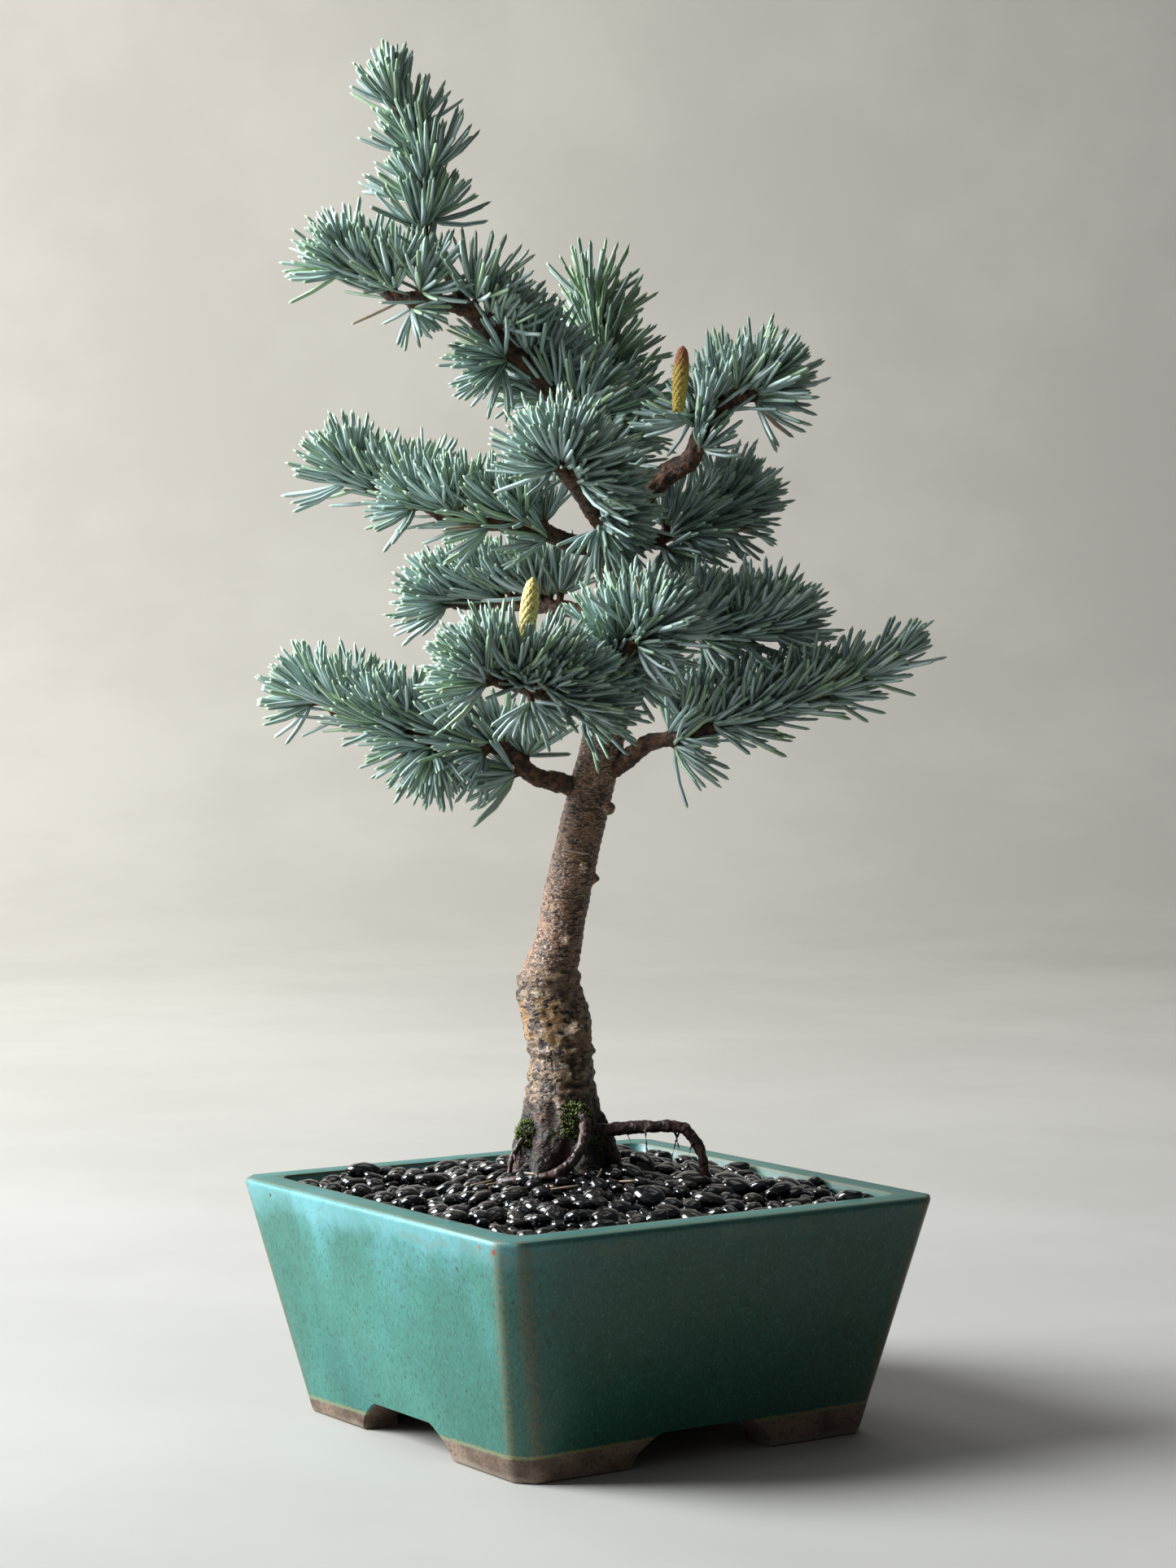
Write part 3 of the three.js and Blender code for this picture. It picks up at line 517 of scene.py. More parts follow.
# %% Soil and drainage mesh
soil_finish, tree, shader, place = new_material("bonsai_soil", 0.95)
soil_tone, _ = use_blotches(tree, place, 380, colour(44, 30, 22), colour(104, 76, 54))
pumice = use_specks(tree, place, 420, 0.35)
tree.links.new(blend(tree, pumice, soil_tone, colour(168, 154, 128)), shader.inputs["Base Color"])
bump(tree, shader, noise(tree, place, 450, 5, 0.7), 1.2 * MM)
screen_finish, tree, shader, place = new_material("mesh_plastic", 0.6)
screen_tone, _ = use_blotches(tree, place, 200, colour(26, 28, 27), colour(48, 50, 47))
tree.links.new(screen_tone, shader.inputs["Base Color"])
bump(tree, shader, noise(tree, place, 1800, 2), 0.08 * MM)
for node, finish in (("soil", soil_finish), ("drainage_screen", screen_finish)):
    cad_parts[node].data.materials.clear()
    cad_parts[node].data.materials.append(finish)

# %% [markdown]
# The soil is dressed with polished river pebbles, black to dark brown, 5 to 12 mm long, heaped a
# little towards the trunk. They lie at random but never through each other, so their middles are
# found by letting round stones settle: they start above the bed, sink, and push apart where two of
# them overlap. One stone is modelled; its copies are drawn out, flattened and turned.

# %% Settling the stones
dice = np.random.default_rng(7)
STONES = 1560
BED_WALL = 75.0  # height of the bed's surface along the pot's walls
BED_RISE = 9.6
BED_REACH = 44.0
BED_DEPTH = 6.6
TRUNK_FOOT = np.array([-5.8, 3.9])
FOOT_ROOM = 15.0  # the stones keep this far from the trunk's middle
SINK = 0.2  # how far they sink in a step
STEPS = 100
OVERLAP = 0.93  # round stones may overlap by the rest, since the real ones are flattened


def bed_surface(x, y):
    """Height of the pebble bed over a place in the pot."""
    return BED_WALL + BED_RISE * np.exp(-(x ** 2 + y ** 2) / BED_REACH ** 2)


sizes = np.clip(dice.lognormal(math.log(2.75), 0.24, STONES), 1.9, 4.4)
stones = np.column_stack([dice.uniform(-70, 70, (STONES, 2)), np.zeros(STONES)])
stones[:, 2] = bed_surface(stones[:, 0], stones[:, 1]) - BED_DEPTH + dice.uniform(2, 10, STONES)
for step in range(STEPS):
    stones[:, 2] -= SINK
    gaps = stones[:, None, :] - stones[None, :, :]
    far = np.sqrt((gaps ** 2).sum(2)) + 1e-6
    touch = OVERLAP * (sizes[:, None] + sizes[None, :])
    push = np.where(far < touch, (touch - far) * 0.35 / far, 0.0)
    np.fill_diagonal(push, 0)
    stones += np.clip((gaps * push[:, :, None]).sum(1), -0.8, 0.8)
    wall = pot_half(stones[:, 2]) - RIM - 0.2 - 0.95 * sizes
    stones[:, :2] = np.clip(stones[:, :2], -wall[:, None], wall[:, None])
    from_trunk = stones[:, :2] - TRUNK_FOOT
    away = np.linalg.norm(from_trunk, axis=1) + 1e-6
    inside = away < FOOT_ROOM + sizes
    stones[inside, :2] += (from_trunk / away[:, None] * (FOOT_ROOM + sizes - away)[:, None])[inside]
    floor = bed_surface(stones[:, 0], stones[:, 1]) - BED_DEPTH + 0.3 + 0.7 * sizes
    stones[:, 2] = np.clip(stones[:, 2], floor, floor + BED_DEPTH - 0.6)
print("stones from", stones[:, 2].min().round(1), "to", stones[:, 2].max().round(1))

# %% One pebble and its copies
def template_of(obj):
    """Takes a modelled shape's corners and triangles, and removes the object."""
    choose(obj)
    bpy.ops.object.mode_set(mode="EDIT")
    bpy.ops.mesh.select_all(action="SELECT")
    bpy.ops.mesh.quads_convert_to_tris()
    bpy.ops.object.mode_set(mode="OBJECT")
    corners = np.array([v.co for v in obj.data.vertices])
    faces = np.array([f.vertices[:] for f in obj.data.polygons])
    bpy.data.objects.remove(obj)
    return corners, faces


def unit_rows(rows):
    """Rows of directions, each brought to length one."""
    return rows / np.linalg.norm(rows, axis=1)[:, None]


def mesh_of_copies(name, copies, faces, tones=None, uvs=None):
    """One object from many moved copies of a shape: copies is (count, corners, 3), in metres."""
    count, corners = copies.shape[:2]
    every = (faces[None, :, :] + (np.arange(count) * corners)[:, None, None]).reshape(-1, 3)
    mesh = bpy.data.meshes.new(name)
    mesh.from_pydata(copies.reshape(-1, 3).tolist(), [], every.tolist())
    if tones is not None:
        layer = mesh.attributes.new("tone", "FLOAT", "POINT")
        layer.data.foreach_set("value", np.repeat(tones, corners).astype(np.float32))
    if uvs is not None:
        layer = mesh.uv_layers.new(name="OFBake")
        layer.data.foreach_set("uv", uvs.reshape(-1).astype(np.float32))
    mesh.polygons.foreach_set("use_smooth", np.ones(len(every), dtype=bool))
    mesh.update()
    obj = bpy.data.objects.new(name, mesh)
    bpy.context.collection.objects.link(obj)
    return obj


deselect()
bpy.ops.mesh.primitive_ico_sphere_add(subdivisions=2, radius=1)
bpy.ops.object.mode_set(mode="EDIT")
pick(bpy.context.object, "verts", lambda middle, normal: middle.x > 0.4)
bpy.ops.transform.resize(value=(1, 0.82, 0.86))
bpy.ops.object.mode_set(mode="OBJECT")
pebble, pebble_faces = template_of(bpy.context.object)

turn = dice.uniform(0, 2 * math.pi, STONES)
tilt = dice.normal(0, 0.24, (STONES, 2))
out = stones[:, 0] ** 2 + stones[:, 1] ** 2
slope = 2 * BED_RISE / BED_REACH ** 2 * np.exp(-out / BED_REACH ** 2)
up = unit_rows(np.column_stack([stones[:, :2] * slope[:, None] + tilt, np.ones(STONES)]))
along = np.column_stack([np.cos(turn), np.sin(turn), np.zeros(STONES)])
along = unit_rows(along - up * (along * up).sum(1)[:, None])
beside = np.cross(up, along)
stretch = np.column_stack([dice.uniform(1.2, 1.6, STONES), dice.uniform(0.9, 1.1, STONES),
                           dice.uniform(0.5, 0.68, STONES)]) * sizes[:, None]
shaped = pebble[None] * stretch[:, None, :]
copies = (shaped[:, :, :1] * along[:, None] + shaped[:, :, 1:2] * beside[:, None]
          + shaped[:, :, 2:] * up[:, None] + stones[:, None, :])
pebbles = mesh_of_copies("river_pebbles", copies * MM, pebble_faces, dice.uniform(0, 1, STONES))

# %% [markdown]
# The pebbles are hard, dense and tumbled, and they look wet: nearly black, with a sharp highlight on
# each. A number kept on every stone sets its own tone, from blue-black through brown to olive grey,
# and faint cloudy veins and pits stop them from looking like glass beads.

# %% Wet stone
stone_finish, tree, shader, place = new_material("polished_river_stone", 0.18)
own = put(tree, "ShaderNodeAttribute", {"attribute_name": "tone"}).outputs["Fac"]
ramp = put(tree, "ShaderNodeValToRGB", None, Fac=own)
shades = [(0.0, (6, 7, 10)), (0.5, (10, 11, 14)), (0.72, (16, 15, 16)), (0.86, (24, 22, 20)),
          (0.95, (36, 33, 28)), (1.0, (50, 47, 41))]
for position, shade in shades[1:-1]:
    ramp.color_ramp.elements.new(position)
for element, (position, shade) in zip(ramp.color_ramp.elements, shades):
    element.position = position
    element.color = colour(*shade)
veined = noise(tree, place, 330, 4, 0.65)
stone_tone = dab(tree, ramp.outputs[0], fade(tree, veined, 0.5, 0.75), 0.2, colour(52, 50, 48))
tree.links.new(stone_tone, shader.inputs["Base Color"])
tree.links.new(scaled(tree, veined, 0.22, 0.06), shader.inputs["Roughness"])
shader.inputs["Coat Weight"].default_value = 0.5
shader.inputs["Coat Roughness"].default_value = 0.08
bump(tree, shader, noise(tree, place, 900, 2), 0.05 * MM, 0.5)
settle(pebbles, stone_finish, "pebbles", "pebble_layer")
print("pebbles", len(pebbles.data.polygons), "faces")

# %% [markdown]
# The tree is drawn as its grower sees it: x to the right, y away, z up from the soil line. Each limb
# is a list of points with the limb's radius at each. A smooth curve goes through them, and the same
# curve later says where the needle tufts sit. The tables repeat the CAD model's, so wood and needles
# lie where their solids are.

# %% The limbs as drawn
TRUNK = [
    (-7, 0, -18, 15), (-7, 0, 0, 15), (-7, 0, 10, 14), (-7, 0, 20, 12.5), (-7, 0, 29, 11),
    (-7, 1, 39, 10.6), (-9, 2, 50, 11.2), (-11, 2, 60, 10.5), (-8, 3, 73, 7.9), (-5, 5, 90, 7.8),
    (-1, 6, 108, 7.4), (2, 6, 121, 7.4), (5, 6, 132, 7.3), (8, 5, 146, 7), (10, 4, 159, 6.8),
    (11, 3, 175, 6.7), (11, 2, 191, 6.6), (10, 2, 203, 6.2), (10, 3, 214, 5), (5, 6, 232, 4), (-6, 8, 250, 3.3),
    (-16, 6, 262, 3.3), (-25, 3, 269, 3.4), (-32, 1, 277, 3.3), (-38, 0, 283, 3),
]
ROOT_RIDGES = [
    [(-9, -2, 24, 7), (-17.5, -3, 8, 5), (-20, -5, -10, 4)],
    [(-6, -3, 20, 7), (-11, -14, 4, 5), (-14, -20, -12, 4)],
    [(-4, -3, 18, 7), (1, -11, 5, 5), (4, -16, -12, 4)],
    [(-3, 1, 22, 7), (6, 1, 6, 5), (11, 2, -12, 4)],
    [(-5, 3, 20, 7), (2, 14, 4, 5), (6, 21, -12, 4)],
    [(-8, 3, 20, 7), (-17, 12, 4, 5), (-22, 18, -12, 4)],
]
ROOTS = {
    "root_right": [(-1, -6, 13, 2.4), (10, -8, 13.5, 2.2), (22, -9, 14.5, 2), (33, -9, 14, 1.9),
        (38, -9, 8, 1.8), (40, -9, 0, 1.6), (41, -9, -8, 1.4)],
    "root_front": [(-2, -6, 22, 2), (1, -16, 16, 1.9), (-1, -21, 8, 1.8), (-8, -25, 1.5, 1.7),
        (-16, -24, -0.5, 1.6), (-25, -20, -2, 1.4), (-33, -17, -7, 1.1)],
    "root_left": [(-10, -5, 14, 1.2), (-19, -9, 11, 1.1), (-23, -12, 4, 1), (-25, -14, -9, 0.9)],
}
BRANCHES = {
    "low_left": [(3, 6, 120, 3.4), (-5, 4, 126, 3.4), (-16, 0, 129, 3), (-23, -3, 136, 2.6),
        (-35, -4, 140, 2.2), (-49, -3, 141, 1.9), (-68, 0, 146, 1.6), (-80, 7, 149, 1.4),
        (-87, 12, 153, 1.1)],
    "low_right": [(6, 6, 128, 3.4), (14, 2, 134, 3.2), (22, -1, 140, 2.8), (27, -4, 141, 2.6),
        (40, -8, 145, 2.2), (56, -11, 148, 1.9), (72, -14, 154, 1.7), (88, -16, 160, 1.4),
        (100, -18, 167, 1)],
    "front": [(9, 4, 150, 3.8), (2, -14, 151, 3.6), (-6, -34, 154, 3.2), (-16, -50, 158, 2.6),
        (-26, -61, 160, 2)],
    "front_right": [(10, 4, 160, 3), (10, -14, 163, 2.8), (12, -28, 170, 2.4), (20, -40, 175, 1.8)],
    "middle_right": [(11, 3, 165, 3), (22, -1, 171, 2.6), (34, -6, 175, 2.2), (46, -8, 175, 1.8),
        (58, -10, 176, 1.3)],
    "back_left": [(11, 3, 180, 3), (-4, 20, 184, 2.8), (-24, 32, 186, 2.3), (-43, 40, 186, 1.6)],
    "back_right": [(8, 5, 145, 3.2), (12, 26, 150, 2.8), (18, 46, 154, 2.2), (22, 62, 160, 1.4)],
    "upper_left": [(10, 2, 203, 3.2), (-3, -5, 205, 3), (-16, -8, 210, 2.6), (-26, -8, 211, 2.3),
        (-43, -2, 213, 1.9), (-55, 5, 219, 1.6), (-64, 10, 220, 1.4), (-75, 15, 226, 1.1)],
    "upper_right": [(10, 2, 207, 4), (20, 0, 221, 4), (28, -4, 228, 3.8), (35, -8, 232, 3.3),
        (41, -10, 246, 2.6), (55, -14, 253, 1.8)],
    "upper_right_back": [(10, 2, 202, 2.8), (22, 9, 206, 2.6), (32, 16, 210, 2.2), (46, 24, 216, 1.5)],
    "upper_front": [(10, 2, 206, 2.8), (4, -16, 214, 2.7), (-3, -32, 223, 2.3), (-7, -42, 227, 1.8)],
    "upper_back": [(10, 2, 210, 3), (11, 18, 234, 2.8), (8, 26, 257, 2.3), (5, 30, 274, 1.9),
        (3, 32, 284, 1.4)],
    "leader_left": [(-36, 0, 281, 2.6), (-50, -2, 285, 2.4), (-62, 0, 286, 1.9), (-76, 3, 295, 1.2)],
    "leader_tip": [(-37, 1, 281, 2.4), (-45, 5, 296, 2.1), (-52, 6, 306, 1.9), (-51, 4, 327, 1.5),
        (-60, 2, 346, 1.1), (-62, 2, 353, 0.9)],
}

# %% Curves through the points
def to_pot(points):
    """Points from the tree's frame, in millimetres, to the pot's frame, in metres."""
    points = np.atleast_2d(points)
    cos, sin = math.cos(FRONT_TURN), math.sin(FRONT_TURN)
    x, y, z = points[:, 0], points[:, 1], points[:, 2]
    return np.column_stack([x * cos - y * sin, x * sin + y * cos, z + CROWN]) * MM


def in_pot(copies):
    """Copies of a shape, (count, corners, 3), from the tree's frame to the pot's."""
    return to_pot(copies.reshape(-1, 3)).reshape(copies.shape)


def route_of(rows, steps=14):
    """A smooth curve through a limb's rows: [x, y, z, radius] rows, and their shares of its length."""
    rows = np.array(rows, float)
    rows = np.vstack([2 * rows[0] - rows[1], rows, 2 * rows[-1] - rows[-2]])
    dense = []
    for a, b, c, d in zip(rows[:-3], rows[1:-2], rows[2:-1], rows[3:]):
        pairs = ((a, b), (b, c), (c, d))
        before, span, after = (np.linalg.norm(q[:3] - p[:3]) ** 0.5 for p, q in pairs)
        leave = ((b - a) / before - (c - a) / (before + span) + (c - b) / span) * span
        arrive = ((c - b) / span - (d - b) / (span + after) + (d - c) / after) * span
        t = np.linspace(0, 1, steps, endpoint=False)[:, None]
        dense.append(b + leave * t + (3 * (c - b) - 2 * leave - arrive) * t ** 2
                     + (2 * (b - c) + leave + arrive) * t ** 3)
    dense = np.vstack(dense + [rows[-2][None]])
    length = np.concatenate([[0], np.cumsum(np.linalg.norm(np.diff(dense[:, :3], axis=0), axis=1))])
    return dense, length / length[-1]


def at_share(route, share):
    """Place, radius and direction at a share of a route's length."""
    dense, shares = route
    here = np.array([np.interp(share, shares, dense[:, k]) for k in range(4)])
    ahead = np.array([np.interp(min(share + 0.02, 1), shares, dense[:, k]) for k in range(3)])
    behind = np.array([np.interp(max(share - 0.02, 0), shares, dense[:, k]) for k in range(3)])
    way = ahead - behind
    return here[:3], here[3], way / np.linalg.norm(way)


def around(way, start, turns):
    """Directions square to a way, one for each turn about it, counted from a starting vector."""
    first = np.cross(way, start)
    first /= np.linalg.norm(first)
    turns = np.atleast_1d(turns)[:, None]
    return np.cos(turns) * first + np.sin(turns) * np.cross(way, first)


def tube(name, dense, sides=5):
    """A round limb along dense [x, y, z, radius] points, made by a bevelled curve."""
    deselect()
    bpy.ops.curve.primitive_bezier_curve_add()
    limb = bpy.context.object
    limb.name = name
    curve = limb.data
    curve.splines.clear()
    spline = curve.splines.new("POLY")
    spline.points.add(len(dense) - 1)
    places = to_pot(dense[:, :3])
    spline.points.foreach_set("co", np.column_stack([places, np.ones(len(dense))]).ravel())
    spline.points.foreach_set("radius", dense[:, 3])
    curve.dimensions = "3D"
    curve.bevel_depth = MM
    curve.bevel_resolution = sides
    curve.use_fill_caps = True
    bpy.ops.object.convert(target="MESH")
    return bpy.context.object


def fuse(pieces, voxel):
    """Joins pieces and grows one even skin over them all."""
    deselect()
    for piece in pieces:
        piece.select_set(True)
    bpy.context.view_layer.objects.active = pieces[0]
    if len(pieces) > 1:
        bpy.ops.object.join()
    whole = bpy.context.object
    apply_modifier(whole, "REMESH", mode="VOXEL", voxel_size=voxel * MM, use_smooth_shade=True)
    return whole


def sculpt(obj, rule):
    """Moves each corner along its normal by rule(x, y, z) millimetres, in the tree's frame."""
    mesh = obj.data
    count = len(mesh.vertices)
    corners = np.empty(count * 3, np.float32)
    mesh.vertices.foreach_get("co", corners)
    normals = np.empty(count * 3, np.float32)
    mesh.vertices.foreach_get("normal", normals)
    corners, normals = corners.reshape(-1, 3), normals.reshape(-1, 3)
    cos, sin = math.cos(-FRONT_TURN), math.sin(-FRONT_TURN)
    x, y, z = (corners / MM).T
    own = np.column_stack([x * cos - y * sin, x * sin + y * cos, z - CROWN])
    corners += normals * (rule(own) * MM)[:, None]
    mesh.vertices.foreach_set("co", corners.ravel())
    mesh.update()
    mesh.polygons.foreach_set("use_smooth", np.ones(len(mesh.polygons), dtype=bool))


def cloudy(points, size, seed=0.0):
    """Smooth random values from -1 to 1 over points, with features of the given size."""
    return np.array([field.noise(Vector(p) / size + Vector((seed, seed * 1.7, -seed))) for p in points])


GOLDEN = 2.39996  # the golden angle, by which leaves and scales follow one another round a stem
trunk_route = route_of(TRUNK)
routes = {name: route_of(rows) for name, rows in BRANCHES.items()}
print("limbs", len(routes) + 1, "trunk points", len(trunk_route[0]))

# %% [markdown]
# The trunk is grown as one with its leader. It flares into ridged roots at the soil, swells where the
# cedar was grafted, and narrows above. Tubes stand for the stem and for each ridge, small balls for
# knots and stubs, and a voxel skin fuses them, as bark grows over a join. The skin is then shaped by
# height: deep flutes at the foot, lumps and pits on the graft with a ring under it, and above it
# faint rings round a nearly smooth stem.

# %% Trunk shape
TRUNK_SKIN, ROOT_SKIN, TWIG_SKIN = 0.62, 0.3, 0.42  # millimetres between the points of a fused skin
# Rings round the stem: height, half width, and how far each stands out.
RINGS = [
    (31, 1.2, 0.55), (28.4, 1.0, -0.4), (38.6, 1.3, 0.85), (36.4, 1.0, -0.55), (41, 0.9, -0.45),
    (62.5, 1.4, 0.8), (26, 0.8, 0.5), (65.5, 0.9, -0.5), (22, 0.8, 0.5),
]
# Knots and stubs: x, y, z and radius.
KNOTS = [
    (8.5, -2.6, 118.5, 2.3), (1.5, -2.4, 99, 2.0), (-4.6, -3.2, 75, 2.2), (4.0, 4.0, 95, 1.8),
    (3, -0.5, 12.5, 2.2), (-19.5, -1, 57, 2.6), (-17, -2, 50, 3.0), (-2, -7.6, 46, 3.2),
    (1.2, 0, 36.5, 2.4), (-14.5, -6, 32, 1.8), (1.0, 1, 30, 1.5),
]


def ball(place, radius):
    """A small round lump, in the tree's frame."""
    deselect()
    bpy.ops.mesh.primitive_ico_sphere_add(subdivisions=3, radius=radius * MM, location=to_pot(place)[0])
    bpy.ops.object.transform_apply(location=True, rotation=True, scale=True)
    return bpy.context.object


def trunk_relief(points):
    """How far the bark stands out or in over each place on the trunk."""
    x, y, z = points.T
    stem = trunk_route[0]
    angle = np.arctan2(y - np.interp(z, stem[:, 2], stem[:, 1]), x - np.interp(z, stem[:, 2], stem[:, 0]))
    foot = np.clip((30 - z) / 30, 0, 1)
    graft = np.exp(-((z - 48) / 10) ** 2)
    lower = np.clip((66 - z) / 8, 0, 1)
    relief = foot * 1.3 * np.sin(angle * 9 + 0.12 * z + 1.5 * cloudy(points, 14))
    relief += graft * 1.2 * cloudy(points, 9, 3) + lower * 0.5 * cloudy(points * (1, 1, 1.5), 3.2, 5)
    relief += lower * 0.32 * cloudy(points * (1, 1, 1.8), 1.6, 8)
    wander = 1.4 * cloudy(points, 9, 11)
    for level, width, height in RINGS:
        relief += height * np.exp(-((z + wander - level) / width) ** 2)
    upper = 1 - lower
    relief += upper * (0.16 * cloudy(points * (1, 1, 4), 2.6, 2) + 0.3 * cloudy(points, 8, 4))
    relief += upper * 0.1 * np.sin(z * 2.6 + 2.2 * cloudy(points, 12, 6))
    scaly = np.clip((z - 196) / 20, 0, 1)
    return relief + scaly * 0.45 * cloudy(points, 1.9, 9)


pieces = [tube("trunk_bark", trunk_route[0], 8)]
pieces += [tube("ridge", route_of(rows)[0], 4) for rows in ROOT_RIDGES]
for x, y, z, radius in KNOTS:
    pieces.append(ball((x, y, z), radius))
trunk = fuse(pieces, TRUNK_SKIN)
apply_modifier(trunk, "SMOOTH", factor=0.6, iterations=4)
sculpt(trunk, trunk_relief)
print("trunk", len(trunk.data.polygons), "faces")

# %% [markdown]
# Cedar bark is smooth and coppery while it is young, with pale flecks and short dark bars across the
# stem where it breathes. It turns ochre, pitted and silvery over the graft, flaky below it, and nearly
# black where the foot stays damp. The same finish, read at a different height, covers the scaly
# leader at the top. Heights are the pot frame's, so the zones fade into each other.

# %% Trunk bark
bark, tree, shader, place = new_material("cedar_trunk_bark", 0.6)
rise = put(tree, "ShaderNodeSeparateXYZ", None, Vector=place).outputs["Z"]
ragged_rise = scaled(tree, minus(tree, noise(tree, place, 110, 3), 0.5), 0.03, rise)
ringed = stretched(tree, place, 1, 1, 3.4)
smooth_tone, patch = use_blotches(tree, place, 150, colour(72, 47, 36), colour(130, 92, 67))
mottle = noise(tree, ringed, 700, 4, 0.75)
smooth_tone = dab(tree, smooth_tone, fade(tree, mottle, 0.46, 0.64), 0.75, colour(182, 152, 124))
smooth_tone = dab(tree, smooth_tone, fade(tree, mottle, 0.47, 0.36), 0.7, colour(42, 25, 19))
bars = use_specks(tree, stretched(tree, place, 1, 1, 2.6), 330, 0.52)
smooth_tone = dab(tree, smooth_tone, bars, 0.8, colour(40, 22, 16))
flecks = use_specks(tree, stretched(tree, place, 1, 1, 2.2), 760, 0.42)
smooth_tone = dab(tree, smooth_tone, flecks, 0.6, colour(212, 194, 172))
graft_tone, _ = use_blotches(tree, place, 300, colour(62, 45, 33), colour(142, 114, 84))
silvery = fade(tree, noise(tree, stretched(tree, place, 1, 1, 1.6), 420, 4, 0.75), 0.5, 0.66)
graft_tone = dab(tree, graft_tone, silvery, 0.75, colour(178, 166, 148))
graft_zone = times(tree, fade(tree, ragged_rise, 0.120, 0.126), fade(tree, ragged_rise, 0.145, 0.138))
ochre = times(tree, fade(tree, noise(tree, place, 95, 4, 0.6), 0.44, 0.58), graft_zone)
graft_tone = dab(tree, graft_tone, ochre, 0.6, colour(162, 118, 60))
pits = use_specks(tree, stretched(tree, place, 1, 1, 1.7), 380, 0.5)
graft_tone = blend(tree, pits, graft_tone, colour(34, 22, 16))
foot_tone, _ = use_blotches(tree, place, 280, colour(12, 8, 7), colour(54, 34, 28))
reddish = fade(tree, noise(tree, place, 130, 4, 0.7), 0.52, 0.64)
foot_tone = dab(tree, foot_tone, reddish, 0.6, colour(116, 72, 60))
mossy = fade(tree, noise(tree, place, 120, 3), 0.6, 0.7)
foot_tone = dab(tree, foot_tone, mossy, 0.5, colour(58, 66, 26))
leader_tone, _ = use_blotches(tree, place, 420, colour(40, 24, 18), colour(100, 62, 40))
tone = blend(tree, fade(tree, ragged_rise, 0.152, 0.142), smooth_tone, graft_tone)
tone = blend(tree, fade(tree, ragged_rise, 0.112, 0.098), tone, foot_tone)
tone = blend(tree, fade(tree, rise, 0.272, 0.292), tone, leader_tone)
tree.links.new(tone, shader.inputs["Base Color"])
shine = scaled(tree, patch, 0.2, 0.36)
tree.links.new(shine, shader.inputs["Roughness"])
relief = scaled(tree, noise(tree, ringed, 700, 4, 0.7), 1.0, times(tree, bars, -0.6))
relief = scaled(tree, flecks, 0.5, scaled(tree, pits, -0.6, relief))
bump(tree, shader, relief, 0.45 * MM, 1.0)
settle(trunk, bark, "bark", "trunk")
print("bark nodes", len(tree.nodes))

# %% [markdown]
# Three roots run over the pebbles: a bold one that arches out to the right and dives, one that crosses
# the front of the foot, and a thin one on the left. They are smooth, dark red-brown and bumpy, with
# hair-fine rootlets, which are thin curves that leave the root and turn down.

# %% Roots
root_bark, tree, shader, place = new_material("root_bark", 0.42)
root_tone, patch = use_blotches(tree, place, 240, colour(28, 16, 13), colour(66, 40, 31))
root_tone = dab(tree, root_tone, use_specks(tree, place, 600, 0.4), 0.5, colour(104, 74, 58))
tree.links.new(root_tone, shader.inputs["Base Color"])
tree.links.new(scaled(tree, patch, 0.25, 0.3), shader.inputs["Roughness"])
bump(tree, shader, noise(tree, place, 620, 4, 0.7), 0.4 * MM)
for name, rows in ROOTS.items():
    route = route_of(rows)
    pieces = [tube(name + "_bark", route[0], 4)]
    for hair in range(7 if name == "root_right" else 5):
        start, radius, way = at_share(route, dice.uniform(0.12, 0.8))
        steps = np.linspace(0, 1, 9)[:, None]
        lean = np.array([dice.uniform(-5, 5), dice.uniform(-6, 2), dice.uniform(-2, 3)])
        line = start + lean * steps + np.array([0, 0, -dice.uniform(8, 15)]) * steps ** 2
        pieces.append(tube("hair", np.column_stack([line, np.linspace(0.36, 0.2, 9)]), 2))
    root = fuse(pieces, ROOT_SKIN)
    sculpt(root, lambda points: 0.42 * cloudy(points, 3.0, 1) + 0.3 * cloudy(points, 1.3, 2))
    settle(root, root_bark, "root_bark", name)
    print(name, len(root.data.polygons), "faces")

# %% [markdown]
# A cedar carries its needles in rosettes, each on a short woody spur, and singly along its long
# shoots. The table gives every rosette: how far along its limb it sits, the clock angle it points in as
# seen from the front, its lean towards the viewer, its reach as a share of a full needle, and its
# spread. Smaller rosettes are then grown between these, as on a real branch.

